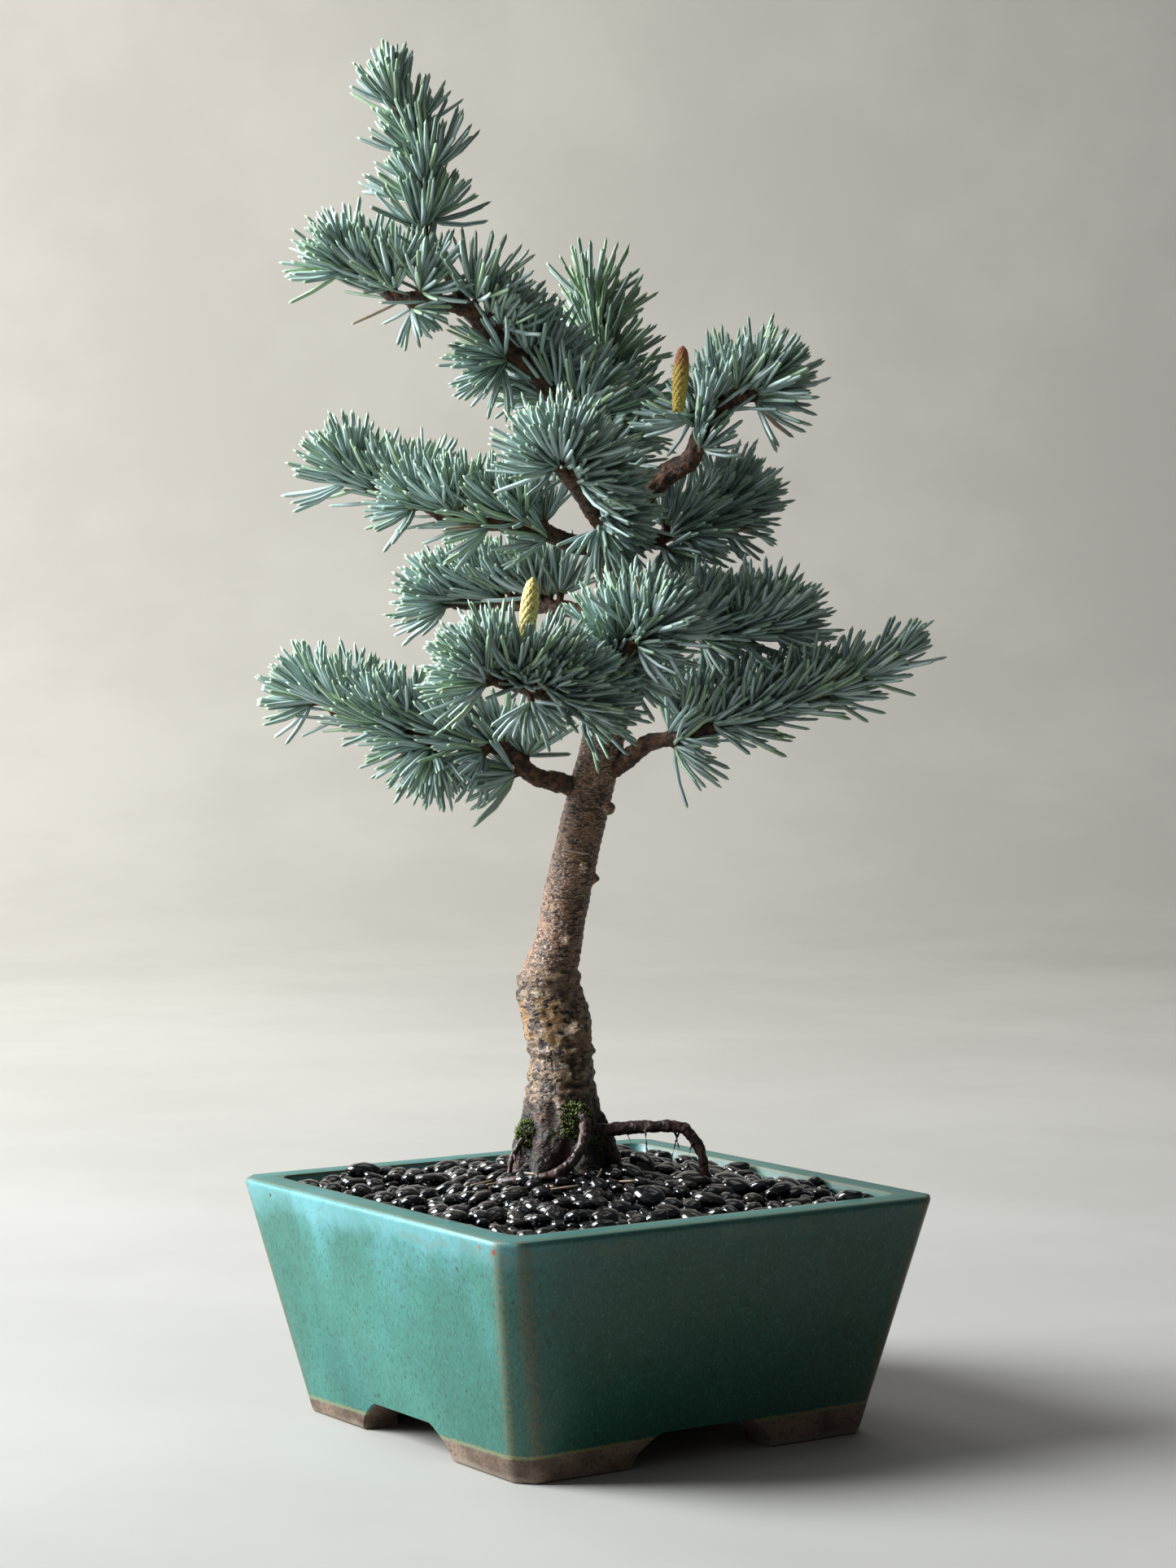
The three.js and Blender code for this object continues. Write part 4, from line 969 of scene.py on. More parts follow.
# %% Where the rosettes sit
TUFTS = {
    "trunk": [(0.77, -70, -10, 0.9), (0.79, 100, 0, 0.95), (0.81, 60, -20, 1), (0.84, 70, 20, 1.05),
        (0.85, 40, 10, 1.1), (0.86, -60, -20, 0.9), (0.88, -80, -30, 0.9), (0.89, 60, -20, 0.95),
        (0.9, 20, 0, 1), (0.92, -100, 25, 1), (0.93, -140, 0, 0.85), (0.94, 35, -15, 1),
        (0.96, 60, 30, 0.85), (0.99, 25, 45, 1.1)],
    "low_left": [(0.24, -110, 10, 0.95), (0.25, 0, -15, 0.9), (0.33, -25, 10, 0.95),
        (0.38, -130, 10, 0.85), (0.42, -80, 20, 1.05), (0.5, -40, 15, 1), (0.56, -150, 10, 1),
        (0.58, 180, 5, 0.95), (0.6, -120, 0, 0.95), (0.66, -35, 10, 1), (0.71, -60, 20, 1),
        (0.76, -20, -10, 0.95), (0.86, -25, 10, 1.05), (0.9, 0, -10, 0.95), (0.97, -50, 5, 1.05),
        (1, -75, 0, 0.95, 0.8), (1, -100, 0, 0.85, 0.8)],
    "low_right": [(0.24, 60, 20, 1), (0.25, 125, 20, 0.95), (0.3, 10, -10, 0.95), (0.35, 40, 10, 1),
        (0.38, 80, 20, 1), (0.45, 100, 10, 0.9), (0.48, 30, 0, 1.05), (0.51, 60, 15, 1),
        (0.56, 45, -10, 1.05), (0.61, 75, 10, 1.05), (0.69, 50, 0, 1), (0.75, 80, 5, 0.9),
        (0.82, 50, 0, 0.8, 0.7), (0.88, 75, 10, 0.75, 0.6), (0.94, 55, -5, 0.7, 0.5),
        (1, 60, 0, 0.6, 0.5)],
    "front": [(0.4, 120, 25, 0.95), (0.47, 75, 20, 1.05), (0.53, 110, 30, 1.05), (0.6, 95, 35, 1.05),
        (0.65, 55, 30, 1.05), (0.72, 105, 35, 1.1), (0.76, 70, 60, 0.95), (0.8, 15, 20, 1.1),
        (0.82, 170, 10, 0.75), (0.85, -10, 30, 1.1), (0.94, -35, 20, 1.05), (1, -40, 0, 1.05),
        (1, -60, 15, 1.1), (1, -85, 20, 1.05), (1, -110, 20, 1)],
    "front_right": [(0.5, 120, 20, 0.95), (0.55, -50, 25, 0.95), (0.62, 45, 10, 1.05),
        (0.65, -10, 20, 1.05), (0.72, 20, 25, 1.1), (0.8, 110, 30, 1), (0.85, 35, 20, 1.1),
        (0.9, 5, 35, 1), (1, 50, 20, 1.05), (1, 80, 25, 1)],
    "middle_right": [(0.45, 20, 10, 1.05), (0.5, 90, 25, 0.95), (0.55, 50, 0, 1.1),
        (0.57, 130, 10, 0.85), (0.65, 30, -15, 1.05), (0.77, 100, 15, 0.95), (0.82, 35, 10, 1),
        (0.92, 50, 0, 1.05), (1, 68, 0, 1.1), (1, 92, 5, 1.1)],
    "back_left": [(0.42, 10, 0, 0.95), (0.5, -35, 0, 0.95), (0.57, -10, -15, 1), (0.66, 15, 0, 1),
        (0.7, -70, -30, 1), (0.76, -10, 0, 1.05), (0.86, -30, -10, 1), (0.92, -45, 0, 1),
        (1, -60, -20, 1), (1, -80, -5, 1), (1, -105, 10, 0.95)],
    "back_right": [(0.5, -50, -20, 1), (0.56, 40, -20, 1), (0.7, 0, -30, 1.05), (0.8, 60, -40, 1),
        (0.86, -60, -40, 1), (1, 10, -60, 1.05), (1, -30, -50, 1), (1, 80, -50, 0.95)],
    "upper_left": [(0.2, -100, 20, 0.8), (0.25, -20, -20, 0.9), (0.29, -60, 30, 0.95),
        (0.38, -10, 20, 1.05), (0.42, -110, 10, 0.9), (0.44, 20, -10, 1), (0.55, -15, 10, 1.05),
        (0.6, -40, 20, 1), (0.7, -100, 15, 0.85), (0.73, -20, 10, 1.05), (0.79, -5, -15, 1),
        (0.9, -35, 0, 1), (1, -15, -10, 0.95), (1, -50, 0, 1.05), (1, -85, 10, 1)],
    "upper_right": [(0.56, 60, 45, 0.7), (0.7, -65, 0, 0.9), (0.73, -15, 30, 1), (0.76, -95, 10, 0.8),
        (0.8, 15, 0, 1.05), (0.9, 25, 10, 1.05), (0.95, 110, 0, 0.95), (1, 45, 0, 1.05),
        (1, 80, 15, 1)],
    "upper_right_back": [(0.4, 150, 20, 0.85), (0.45, 20, -20, 0.95), (0.55, 120, 10, 0.95),
        (0.62, 75, 10, 1.05), (0.8, 60, -10, 1.05), (0.9, 110, 10, 0.95), (1, 30, -10, 1),
        (1, 60, 0, 1.1), (1, 88, -10, 1)],
    "upper_front": [(0.35, 165, 30, 0.95), (0.4, 140, 15, 0.95), (0.5, 100, 30, 1), (0.6, 60, 40, 1),
        (0.8, 105, 40, 0.95), (0.9, 75, 25, 1.05), (0.95, -75, 20, 1), (1, -35, 25, 1.1),
        (1, 5, 35, 1.1), (1, 42, 30, 1.1)],
    "upper_back": [(0.45, -80, -40, 0.95), (0.5, 90, -30, 0.95), (0.6, 60, -20, 1),
        (0.68, -40, -20, 0.95), (0.75, 45, -10, 1), (0.85, -20, -30, 0.95), (0.9, 25, -20, 1),
        (1, 0, -10, 1.05)],
    "leader_left": [(0.4, 5, 15, 1), (0.52, 150, 0, 0.65), (0.6, -15, 20, 1.05), (0.85, -30, 10, 1),
        (0.95, -85, 10, 0.95), (1, -55, 0, 1.05)],
    "leader_tip": [(0.36, -20, 25, 1.05), (0.42, 45, -25, 1), (0.5, -50, -10, 0.95), (0.6, 15, 20, 1),
        (0.68, -35, 0, 0.95), (0.8, 10, -10, 0.9), (0.9, -30, 10, 0.8), (1, -5, 0, 0.6, 0.7)],
}
SPARSE = ("low_left", "upper_left", "leader_tip", "low_right")  # shoots whose tufts stand apart


def tuft_way(clock, lean):
    """The direction that a clock angle and a lean stand for."""
    turn, tip = math.radians(clock), math.radians(lean)
    return np.array([math.sin(turn) * math.cos(tip), -math.sin(tip), math.cos(turn) * math.cos(tip)])


def rosettes_of(name):
    """Each rosette's foot on the limb, its direction, reach, spread and the limb's radius there."""
    route = trunk_route if name == "trunk" else routes[name]
    rows = TUFTS[name]
    found = []
    lift = np.array([0, 0, 0.22])  # tufts turn up towards the light
    for row, following in zip(rows, rows[1:] + rows[-1:]):
        share, clock, lean, reach = row[:4]
        spread = row[4] if len(row) > 4 else 1
        foot, radius, way = at_share(route, share)
        own = tuft_way(clock, lean) + lift
        found.append((foot, own / np.linalg.norm(own), reach, spread, radius))
        if following is not row and spread == 1 and not (name in SPARSE and len(found) % 3):
            middle = 0.5 * (share + following[0]) + dice.uniform(-0.01, 0.01)
            foot, radius, way = at_share(route, min(middle, 1))
            stray = 0.6 * dice.uniform(-1, 1, 3)
            mixed = tuft_way(clock, lean) + tuft_way(following[1], following[2]) + stray + 3 * lift
            found.append((foot, mixed / np.linalg.norm(mixed), 0.86 * reach, 0.9, radius))
    return route, found


print("rosettes drawn", sum(len(rows) for rows in TUFTS.values()))

# %% [markdown]
# Branch wood is thin, dark and rough with old leaf scars. Each branch is a tube with its spurs on it:
# short, ringed pegs that end in a cup of brown bud scales, from which the needles spring. One voxel
# skin fuses a branch with its spurs, and noise at two sizes gives the scaly surface.

# %% Branches and spurs
twig_bark, tree, shader, place = new_material("branch_bark", 0.75)
twig_tone, patch = use_blotches(tree, place, 380, colour(34, 22, 17), colour(108, 73, 50))
orange = fade(tree, noise(tree, place, 640, 4, 0.7), 0.56, 0.68)
twig_tone = dab(tree, twig_tone, orange, 0.7, colour(132, 80, 46))
dark = use_specks(tree, place, 520, 0.5)
twig_tone = dab(tree, twig_tone, dark, 0.8, colour(24, 13, 11))
tree.links.new(twig_tone, shader.inputs["Base Color"])
tree.links.new(scaled(tree, patch, 0.2, 0.58), shader.inputs["Roughness"])
bump(tree, shader, noise(tree, place, 700, 4, 0.7), 0.9 * MM)
SPUR = 3.0  # how far a rosette's hub stands off its limb's surface
rosettes = {}
for name in TUFTS:
    route, found = rosettes_of(name)
    pieces = [] if name == "trunk" else [tube("limb_" + name, route[0], 4)]
    placed = []
    for foot, way, reach, spread, radius in found:
        stand = radius + SPUR * dice.uniform(0.5, 1.0)
        hub = foot + way * stand
        steps = np.linspace(0, 1, 7)
        thick = np.interp(steps, [0, 0.3, 0.62, 0.85, 1], [1.5, 1.1, 1.25, 1.5, 1.0])
        line = foot + way * (steps * (stand + 0.9))[:, None]
        pieces.append(tube("spur", np.column_stack([line, thick * (0.75 + 0.25 * spread)]), 2))
        placed.append((hub, way, reach, spread))
    rosettes[name] = (route, placed)
    wood = fuse(pieces, TWIG_SKIN)
    sculpt(wood, lambda points: 0.42 * cloudy(points, 2.4, 4) + 0.34 * cloudy(points, 1.1, 7))
    wood.name = "spurs_trunk" if name == "trunk" else "limb_" + name
    if name == "trunk":
        settle(wood, twig_bark, "branch_bark")
    else:
        settle(wood, twig_bark, "branch_bark", "branch_" + name)
print("branches", sum(len(placed) for route, placed in rosettes.values()), "rosettes")

# %% [markdown]
# A cedar needle is stiff, four-sided and slightly curved, about 19 mm long and over 1 mm thick, and
# ends in a short point. One is modelled as a four-sided rod: cut across in three places, drawn in at
# its foot and closed at its tip. It has only thirty faces, because thousands are needed.

# %% One needle
deselect()
CUTS = (0.22, 0.58, 0.93)  # where the rod is cut across, as shares of its length
bpy.ops.mesh.primitive_cone_add(vertices=4, radius1=1, radius2=0.8, depth=1, location=(0, 0, 0.5))
needle_rod = bpy.context.object
bpy.ops.object.transform_apply(location=True, rotation=True, scale=True)
bpy.ops.object.mode_set(mode="EDIT")
for level in CUTS:
    bpy.ops.mesh.select_all(action="SELECT")
    bpy.ops.mesh.bisect(plane_co=(0, 0, level), plane_no=(0, 0, 1))
pick(needle_rod, "verts", lambda middle, normal: middle.z < 0.01)
bpy.ops.transform.resize(value=(0.62, 0.62, 1))
pick(needle_rod, "verts", lambda middle, normal: 0.5 < middle.z < 0.7)
bpy.ops.transform.resize(value=(1.12, 1.12, 1))
pick(needle_rod, "verts", lambda middle, normal: middle.z > 0.99)
bpy.ops.mesh.merge(type="CENTER")
bpy.ops.object.mode_set(mode="OBJECT")
needle, needle_faces = template_of(needle_rod)
print("needle", len(needle), "corners", len(needle_faces), "faces")

# %% [markdown]
# All needles share one small sheet of colour. It is divided into 8 by 4 strips, each one kind of
# needle, from blue-green through deep green to fresh yellow-green and dry brown, and a needle's four
# sides lie side by side in its strip. So the finish reads only that map, and the thousands of needles
# that use a strip agree in every spot of it.

# %% The needle's map, and a rosette
COLUMNS, ROWS = 8, 4
STRIP_EDGE, STRIP_WIDTH = 0.06, 0.88  # the part of a strip that the needle's sides fill
DEEP_FROM, YOUNG_FROM, DRY = 18, 25, 31  # the kinds: blue-green below the first, and one dry brown
face_middle = needle[needle_faces].mean(1)
side_of = np.floor(np.degrees(np.arctan2(face_middle[:, 1], face_middle[:, 0])) / 90) % 4
corner_angle = np.degrees(np.arctan2(needle[:, 1], needle[:, 0])) % 360
needle_uv = np.zeros((len(needle_faces), 3, 2))
for face, (corners, side) in enumerate(zip(needle_faces, side_of)):
    for k, corner in enumerate(corners):
        turned = (corner_angle[corner] - 90 * side) % 360
        over = 0.5 if needle[corner, 2] > 0.99 else min(turned, 90) / 90
        over = 0.0 if turned > 300 else over
        across = STRIP_EDGE + STRIP_WIDTH * (side + over) / 4
        needle_uv[face, k] = (across, 0.04 + 0.92 * needle[corner, 2])


def grow_needles(feet, ways, towards, lengths, widths, curls, kinds):
    """Copies of the needle: each from its foot, along its way, curling towards a direction."""
    side = np.cross(ways, towards)
    flat = np.linalg.norm(side, axis=1) < 1e-3
    side[flat] = np.cross(ways[flat], (0.3, 0.8, 0.5))
    side = unit_rows(side)
    inward = np.cross(side, ways)
    across = needle[None, :, :2] * widths[:, None, None]
    along = needle[None, :, 2] * lengths[:, None]
    curl = curls[:, None] * along ** 2 / lengths[:, None]
    copies = (feet[:, None] + ways[:, None] * along[:, :, None] + side[:, None] * across[:, :, :1]
              + inward[:, None] * (across[:, :, 1:] - curl[:, :, None]))
    column, row = kinds % COLUMNS, kinds // COLUMNS
    uvs = needle_uv[None] + np.column_stack([column, row])[:, None, None, :]
    return copies, uvs / (COLUMNS, ROWS)


NARROWEST, OPENING = 8, 62  # degrees that the middle needles lean, and how much more the outer ones do
UPTURN = 0.16  # how much every needle bends up towards the light
LONGEST = 1.14


def kinds_for(count, fresh):
    """A kind for each needle: mostly blue-green, some deep green, and fresh green on young tufts."""
    chance = dice.uniform(0, 1, count)
    kinds = dice.integers(0, DEEP_FROM, count)
    kinds = np.where(chance > 0.72, dice.integers(DEEP_FROM, YOUNG_FROM, count), kinds)
    kinds = np.where(chance < fresh, dice.integers(YOUNG_FROM, DRY, count), kinds)
    return np.where(chance > 0.994, DRY, kinds)


def rosette(hub, way, reach, spread, count, fresh):
    """Needles that spring from a hub: the middle ones upright and short, the outer ones open."""
    order = np.arange(count)
    turn = order * GOLDEN + dice.uniform(0, 6.28) + dice.normal(0, 0.25, count)
    opening = NARROWEST + OPENING * spread * ((order + 0.5) / count) ** 0.6
    opening = np.radians(opening + dice.normal(0, 7, count))
    ring = around(way, (0.2, 0.5, 0.84), turn)
    ways = np.cos(opening)[:, None] * way + np.sin(opening)[:, None] * ring + (0, 0, UPTURN)
    ways = unit_rows(ways)
    lengths = LONGEST * NEEDLE * reach * dice.uniform(0.8, 1.02, count)
    lengths = lengths * (1 - 0.14 * (order < count * 0.2))
    feet = hub + ring * 0.75 + way * dice.uniform(-0.5, 0.5, count)[:, None]
    widths = dice.uniform(0.7, 0.88, count)
    curls = dice.normal(-0.17, 0.08, count)
    return grow_needles(feet, ways, np.repeat(way[None], count, 0), lengths, widths, curls,
                        kinds_for(count, fresh))


# %% [markdown]
# Every branch gets one foliage piece. Tufts near the top and at branch ends are this year's growth, so
# more of their needles are fresh green. The ends of the long shoots carry single needles in a spiral.

# %% Growing the foliage
NEEDLES_IN_TUFT = 29
# The share of fresh green needles, where it is more than on an old branch.
FRESH = {"upper_back": 0.5, "leader_tip": 0.22, "leader_left": 0.16, "low_left": 0.14, "low_right": 0.18,
         "upper_left": 0.12, "trunk": 0.12, "upper_right": 0.14}
# For each long shoot: where its single needles start and end along it, and how many there are.
SHOOTS = {"low_left": (0.45, 1.0, 30), "low_right": (0.45, 1.0, 50), "upper_left": (0.5, 1.0, 26),
          "leader_tip": (0.25, 1.0, 44), "leader_left": (0.3, 1.0, 18), "middle_right": (0.5, 1.0, 24),
          "upper_right": (0.6, 1.0, 16), "upper_back": (0.4, 1.0, 30)}


def spiral_needles(route, start, end, count, fresh):
    """Single needles round a long shoot, leaning towards its tip."""
    shares = np.linspace(start, end, count)
    feet, ways, towards = np.zeros((3, count, 3))
    for k, share in enumerate(shares):
        place, radius, way = at_share(route, share)
        ring = around(way, (0.3, 0.2, 0.93), k * GOLDEN)[0]
        feet[k] = place + ring * radius * 0.8
        lean = dice.uniform(0.35, 0.85)
        ways[k] = ring * math.sin(lean) + way * math.cos(lean)
        towards[k] = way
    lengths = NEEDLE * dice.uniform(0.72, 1.04, count)
    return grow_needles(feet, ways, towards, lengths, dice.uniform(0.58, 0.72, count),
                        dice.normal(-0.12, 0.06, count), kinds_for(count, fresh))


# The cones' foot, tip and radius, in the tree's frame.
CONES = {
    "pollen_cone_right": ((31, -13, 247), (32.5, -13, 268), 2.9),
    "pollen_cone_front": ((-19, -50, 164), (-15.5, -50, 192), 3.2),
}


IN_FRONT = 34  # how far before a cone the needles are kept short of it
YOUNG_SHOWN = 13  # length of the young cone that stands clear of its needles


def clear_of_cones(copies):
    """Which needles leave both cones free, also for an eye in front of them."""
    free = np.ones(len(copies), bool)
    for name, (foot, tip, radius) in CONES.items():
        shown = foot[2] if name == "pollen_cone_right" else tip[2] - YOUNG_SHOWN
        share = np.clip((copies[:, :, 2] - foot[2]) / (tip[2] - foot[2]), 0, 1)
        off = np.abs(copies[:, :, 0] - foot[0] - share * (tip[0] - foot[0]))
        away, up = copies[:, :, 1], copies[:, :, 2]
        beside = (off < radius + 0.6) & (away < foot[1] + radius) & (away > foot[1] - IN_FRONT)
        free &= ~(beside & (up > shown) & (up < tip[2] + 1)).any(1)
    return free


foliage = {}
for name, (route, placed) in rosettes.items():
    fresh = FRESH.get(name, 0.07)
    grown = []
    for hub, way, reach, spread in placed:
        count = int(NEEDLES_IN_TUFT * (0.55 + 0.45 * spread) * dice.uniform(0.85, 1.15))
        grown.append(rosette(hub, way, reach, spread, count, fresh))
    if name in SHOOTS:
        grown.append(spiral_needles(route, *SHOOTS[name], fresh + 0.1))
    copies = np.concatenate([part[0] for part in grown])
    uvs = np.concatenate([part[1] for part in grown])
    free = clear_of_cones(copies)
    copies, uvs = copies[free], uvs[free]
    foliage[name] = mesh_of_copies("tufts_" + name, in_pot(copies), needle_faces, uvs=uvs)
print("needles", sum(len(tuft.data.polygons) for tuft in foliage.values()) // len(needle_faces))

# %% [markdown]
# A blue cedar's needles are waxy: blue-grey with a pale line down each side, where the leaf breathes,
# and greener at the edges. They are yellowish at the foot and end in a small lime-green point. A
# ramp along the strip sets foot and tip, and a random number for each strip sets the kind.

# %% Waxy needles
needle_finish, tree, shader, place = new_material("waxy_cedar_needle", 0.42)
sheet = put(tree, "ShaderNodeUVMap", {"uv_map": "OFBake"}).outputs[0]
axes = put(tree, "ShaderNodeSeparateXYZ", None, Vector=sheet).outputs
wide = times(tree, axes["X"], float(COLUMNS))
tall = times(tree, axes["Y"], float(ROWS))
column = calc(tree, "FLOOR", wide)
row = calc(tree, "FLOOR", tall)
kind = scaled(tree, row, float(COLUMNS), column)
along = calc(tree, "FRACT", tall)
side = times(tree, minus(tree, calc(tree, "FRACT", wide), STRIP_EDGE), 4 / STRIP_WIDTH)
side = calc(tree, "FRACT", side)
seed = put(tree, "ShaderNodeCombineXYZ", None, X=column, Y=row).outputs[0]
lottery = put(tree, "ShaderNodeTexWhiteNoise", {"noise_dimensions": "3D"}, Vector=seed).outputs["Value"]
body = blend(tree, lottery, colour(108, 136, 131), colour(190, 212, 209))
deep = blend(tree, lottery, colour(66, 94, 76), colour(112, 142, 116))
young = blend(tree, lottery, colour(118, 152, 102), colour(150, 180, 126))
body = blend(tree, calc(tree, "GREATER_THAN", kind, DEEP_FROM - 0.5), body, deep)
body = blend(tree, calc(tree, "GREATER_THAN", kind, YOUNG_FROM - 0.5), body, young)
body = blend(tree, calc(tree, "GREATER_THAN", kind, DRY - 0.5), body, colour(150, 106, 58))
streaky = noise(tree, stretched(tree, sheet, 40, 9, 1), 6, 3, 0.6)
stripe = fade(tree, calc(tree, "ABSOLUTE", minus(tree, side, 0.5)), 0.34, 0.12)
stripe = times(tree, stripe, scaled(tree, streaky, 0.7, 0.15))
body = blend(tree, stripe, body, colour(204, 218, 219))
body = dab(tree, body, fade(tree, along, 0.55, 0.95), 0.4, colour(92, 126, 104))
body = dab(tree, body, fade(tree, along, 0.2, 0.02), 0.7, colour(150, 158, 104))
body = dab(tree, body, fade(tree, along, 0.84, 0.955), 0.35, colour(150, 176, 116))
body = dab(tree, body, fade(tree, along, 0.955, 0.975), 0.8, colour(150, 140, 86))
tree.links.new(body, shader.inputs["Base Color"])
tree.links.new(scaled(tree, streaky, 0.2, 0.32), shader.inputs["Roughness"])
for name, piece in foliage.items():
    settle(piece, needle_finish, "needles", "needles_" + name)
print("needle finish nodes", len(tree.nodes))

# %% [markdown]
# Two pollen cones stand on short shoots: upright clubs whose overlapping scales wind round them in
# spirals, as on a pine cone. The right one is ripe, red-brown at its tip and olive yellow below; the
# front one is young and pale yellow, on a thin stalk. The body is a sphere drawn out to a club, and
# one scale, a flattened half ball, is copied round it along the golden angle.

# %% Cones and their scales
deselect()
bpy.ops.mesh.primitive_uv_sphere_add(segments=8, ring_count=5, radius=1)
bpy.ops.object.mode_set(mode="EDIT")
pick(bpy.context.object, "verts", lambda middle, normal: middle.z > 0.2)
bpy.ops.transform.resize(value=(0.7, 0.7, 1))
pick(bpy.context.object, "verts", lambda middle, normal: middle.y > 0.3)
bpy.ops.transform.resize(value=(1, 0.5, 1))
bpy.ops.object.mode_set(mode="OBJECT")
scale, scale_faces = template_of(bpy.context.object)


STALK_RADIUS = 0.75
CORE = 0.8  # the core's radius as a share of the cone's
SCALE_SIZE = np.array([1.15, 0.62, 1.35]) * 0.30  # a scale's width, thickness and height over the radius


def cone_width(share, radius, stalk):
    """The cone's radius at a share of its height, above its stalk."""
    share = np.asarray(share, float)
    body = np.clip((share - stalk) / (1 - stalk), 0, 1)
    swell = 0.62 + 0.38 * np.sin(np.clip(body * 1.45, 0, 1) * math.pi / 2)
    club = radius * swell * np.sqrt(np.clip(1 - body ** 5, 0, 1))
    return np.where(share < stalk, STALK_RADIUS, np.maximum(club, 0.3))


def cone_piece(name, foot, tip, radius, stalk, count):
    """A cone's core with its scales, as one object."""
    foot, tip = np.array(foot, float), np.array(tip, float)
    axis = (tip - foot) / np.linalg.norm(tip - foot)
    steps = np.linspace(0, 1, 25)
    line = foot + (tip - foot) * steps[:, None]
    core = tube(name, np.column_stack([line, cone_width(steps, radius * CORE, stalk)]), 5)
    order = np.arange(count)
    shares = stalk + (1 - stalk) * ((order + 0.5) / count)
    out = around(axis, (0.2, 0.9, 0.3), order * GOLDEN)
    rise = np.clip((shares - 0.9) * 6, 0, 0.8)[:, None]
    normal = unit_rows(out * (1 - rise) + axis * rise)
    sideways = np.cross(axis, out)
    upward = np.cross(normal, sideways)
    out = out * cone_width(shares, radius * CORE, stalk)[:, None]
    middle = foot + (tip - foot) * shares[:, None] + out
    sized = (scale * SCALE_SIZE * radius)[None]
    copies = (middle[:, None] + sized[:, :, :1] * sideways[:, None] + sized[:, :, 1:2] * normal[:, None]
              + sized[:, :, 2:] * upward[:, None])
    skin = mesh_of_copies(name + "_scales", in_pot(copies), scale_faces)
    deselect()
    skin.select_set(True)
    core.select_set(True)
    bpy.context.view_layer.objects.active = core
    bpy.ops.object.join()
    return core


def cone_finish(name, low, high, top_height, bottom_height):
    """A papery finish that changes colour up the cone."""
    material, tree, shader, place = new_material(name, 0.7)
    rise = put(tree, "ShaderNodeSeparateXYZ", None, Vector=place).outputs["Z"]
    wander = scaled(tree, minus(tree, noise(tree, place, 300, 2), 0.5), 0.008, rise)
    tone = blend(tree, fade(tree, wander, bottom_height, top_height), low, high)
    tone = dab(tree, tone, fade(tree, noise(tree, place, 900, 3), 0.5, 0.68), 0.45, colour(94, 62, 34))
    tree.links.new(tone, shader.inputs["Base Color"])
    bump(tree, shader, noise(tree, place, 1400, 3), 0.2 * MM)
    return material


# For each cone: its finish's name and two tones, over what rise they change, its stalk's share of its
# length, and how many scales it has.
CONE_LOOKS = {
    "pollen_cone_right": ("ripe_pollen_cone", (160, 136, 52), (134, 78, 42), 0.019, 0.011, 0.04, 130),
    "pollen_cone_front": ("young_pollen_cone", (196, 190, 130), (222, 204, 128), 0.018, 0.006, 0.32, 110),
}
for node, (name, low_tone, high_tone, top, bottom, stalk, count) in CONE_LOOKS.items():
    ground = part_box(node)[0].z
    finish = cone_finish(name, colour(*low_tone), colour(*high_tone), ground + top, ground + bottom)
    foot, tip, radius = CONES[node]
    piece = cone_piece(name.replace("_pollen", ""), foot, tip, radius, stalk, count)
    settle(piece, finish, "pollen_cone", node)
print("cones", len(CONES))

# %% [markdown]
# Moss grows in small leafy cushions on the damp foot of the trunk. A cushion is hundreds of tiny
# pointed leaves that stand out from a soft mound. One leaf is modelled and copied with random turns.

# %% Moss
MOSSES = {"moss_front": ((-2, -12, 17), (6, 5, 7)), "moss_left": ((-17, -7, 12), (5, 5, 5)),
          "moss_right": ((3, -9, 8), (5, 4, 5))}
LEAVES = 620  # in each cushion
deselect()
bpy.ops.mesh.primitive_cone_add(vertices=3, radius1=0.32, radius2=0, depth=1, location=(0, 0, 0.5))
bpy.ops.object.transform_apply(location=True, rotation=True, scale=True)
leaf, leaf_faces = template_of(bpy.context.object)
moss_finish, tree, shader, place = new_material("leafy_moss", 0.8)
moss_tone, _ = use_blotches(tree, place, 420, colour(24, 34, 10), colour(74, 92, 26))
own = put(tree, "ShaderNodeAttribute", {"attribute_name": "tone"}).outputs["Fac"]
moss_tone = dab(tree, moss_tone, own, 0.4, colour(104, 114, 40))
tree.links.new(moss_tone, shader.inputs["Base Color"])
bump(tree, shader, noise(tree, place, 1500, 2), 0.2 * MM)
for name, (middle, half) in MOSSES.items():
    outward = unit_rows(dice.normal(0, 1, (LEAVES, 3)))
    wander = cloudy(outward * 3 + middle, 1.4, 3)
    feet = np.array(middle) + outward * np.array(half) * (0.8 + 0.22 * wander)[:, None]
    ways = unit_rows(outward + dice.normal(0, 0.5, (LEAVES, 3)) + (0, 0, 0.35))
    side = unit_rows(np.cross(ways, (0.3, 0.5, 0.81)))
    other = np.cross(ways, side)
    sized = leaf[None] * dice.uniform(0.9, 1.7, LEAVES)[:, None, None]
    copies = (feet[:, None] + sized[:, :, :1] * side[:, None] + sized[:, :, 1:2] * other[:, None]
              + sized[:, :, 2:] * ways[:, None])
    tuft = mesh_of_copies(name + "_leaves", in_pot(copies), leaf_faces, dice.uniform(0, 1, LEAVES))
    settle(tuft, moss_finish, "moss", name)
print("moss cushions", len(MOSSES))

# %% [markdown]
# A few needles have dropped: some lie dry and brown among the pebbles, and one is caught across the
# trunk. They are copies of the same needle, laid nearly flat. Bud scales, orange brown, sit at the
# tip of the low left shoot.

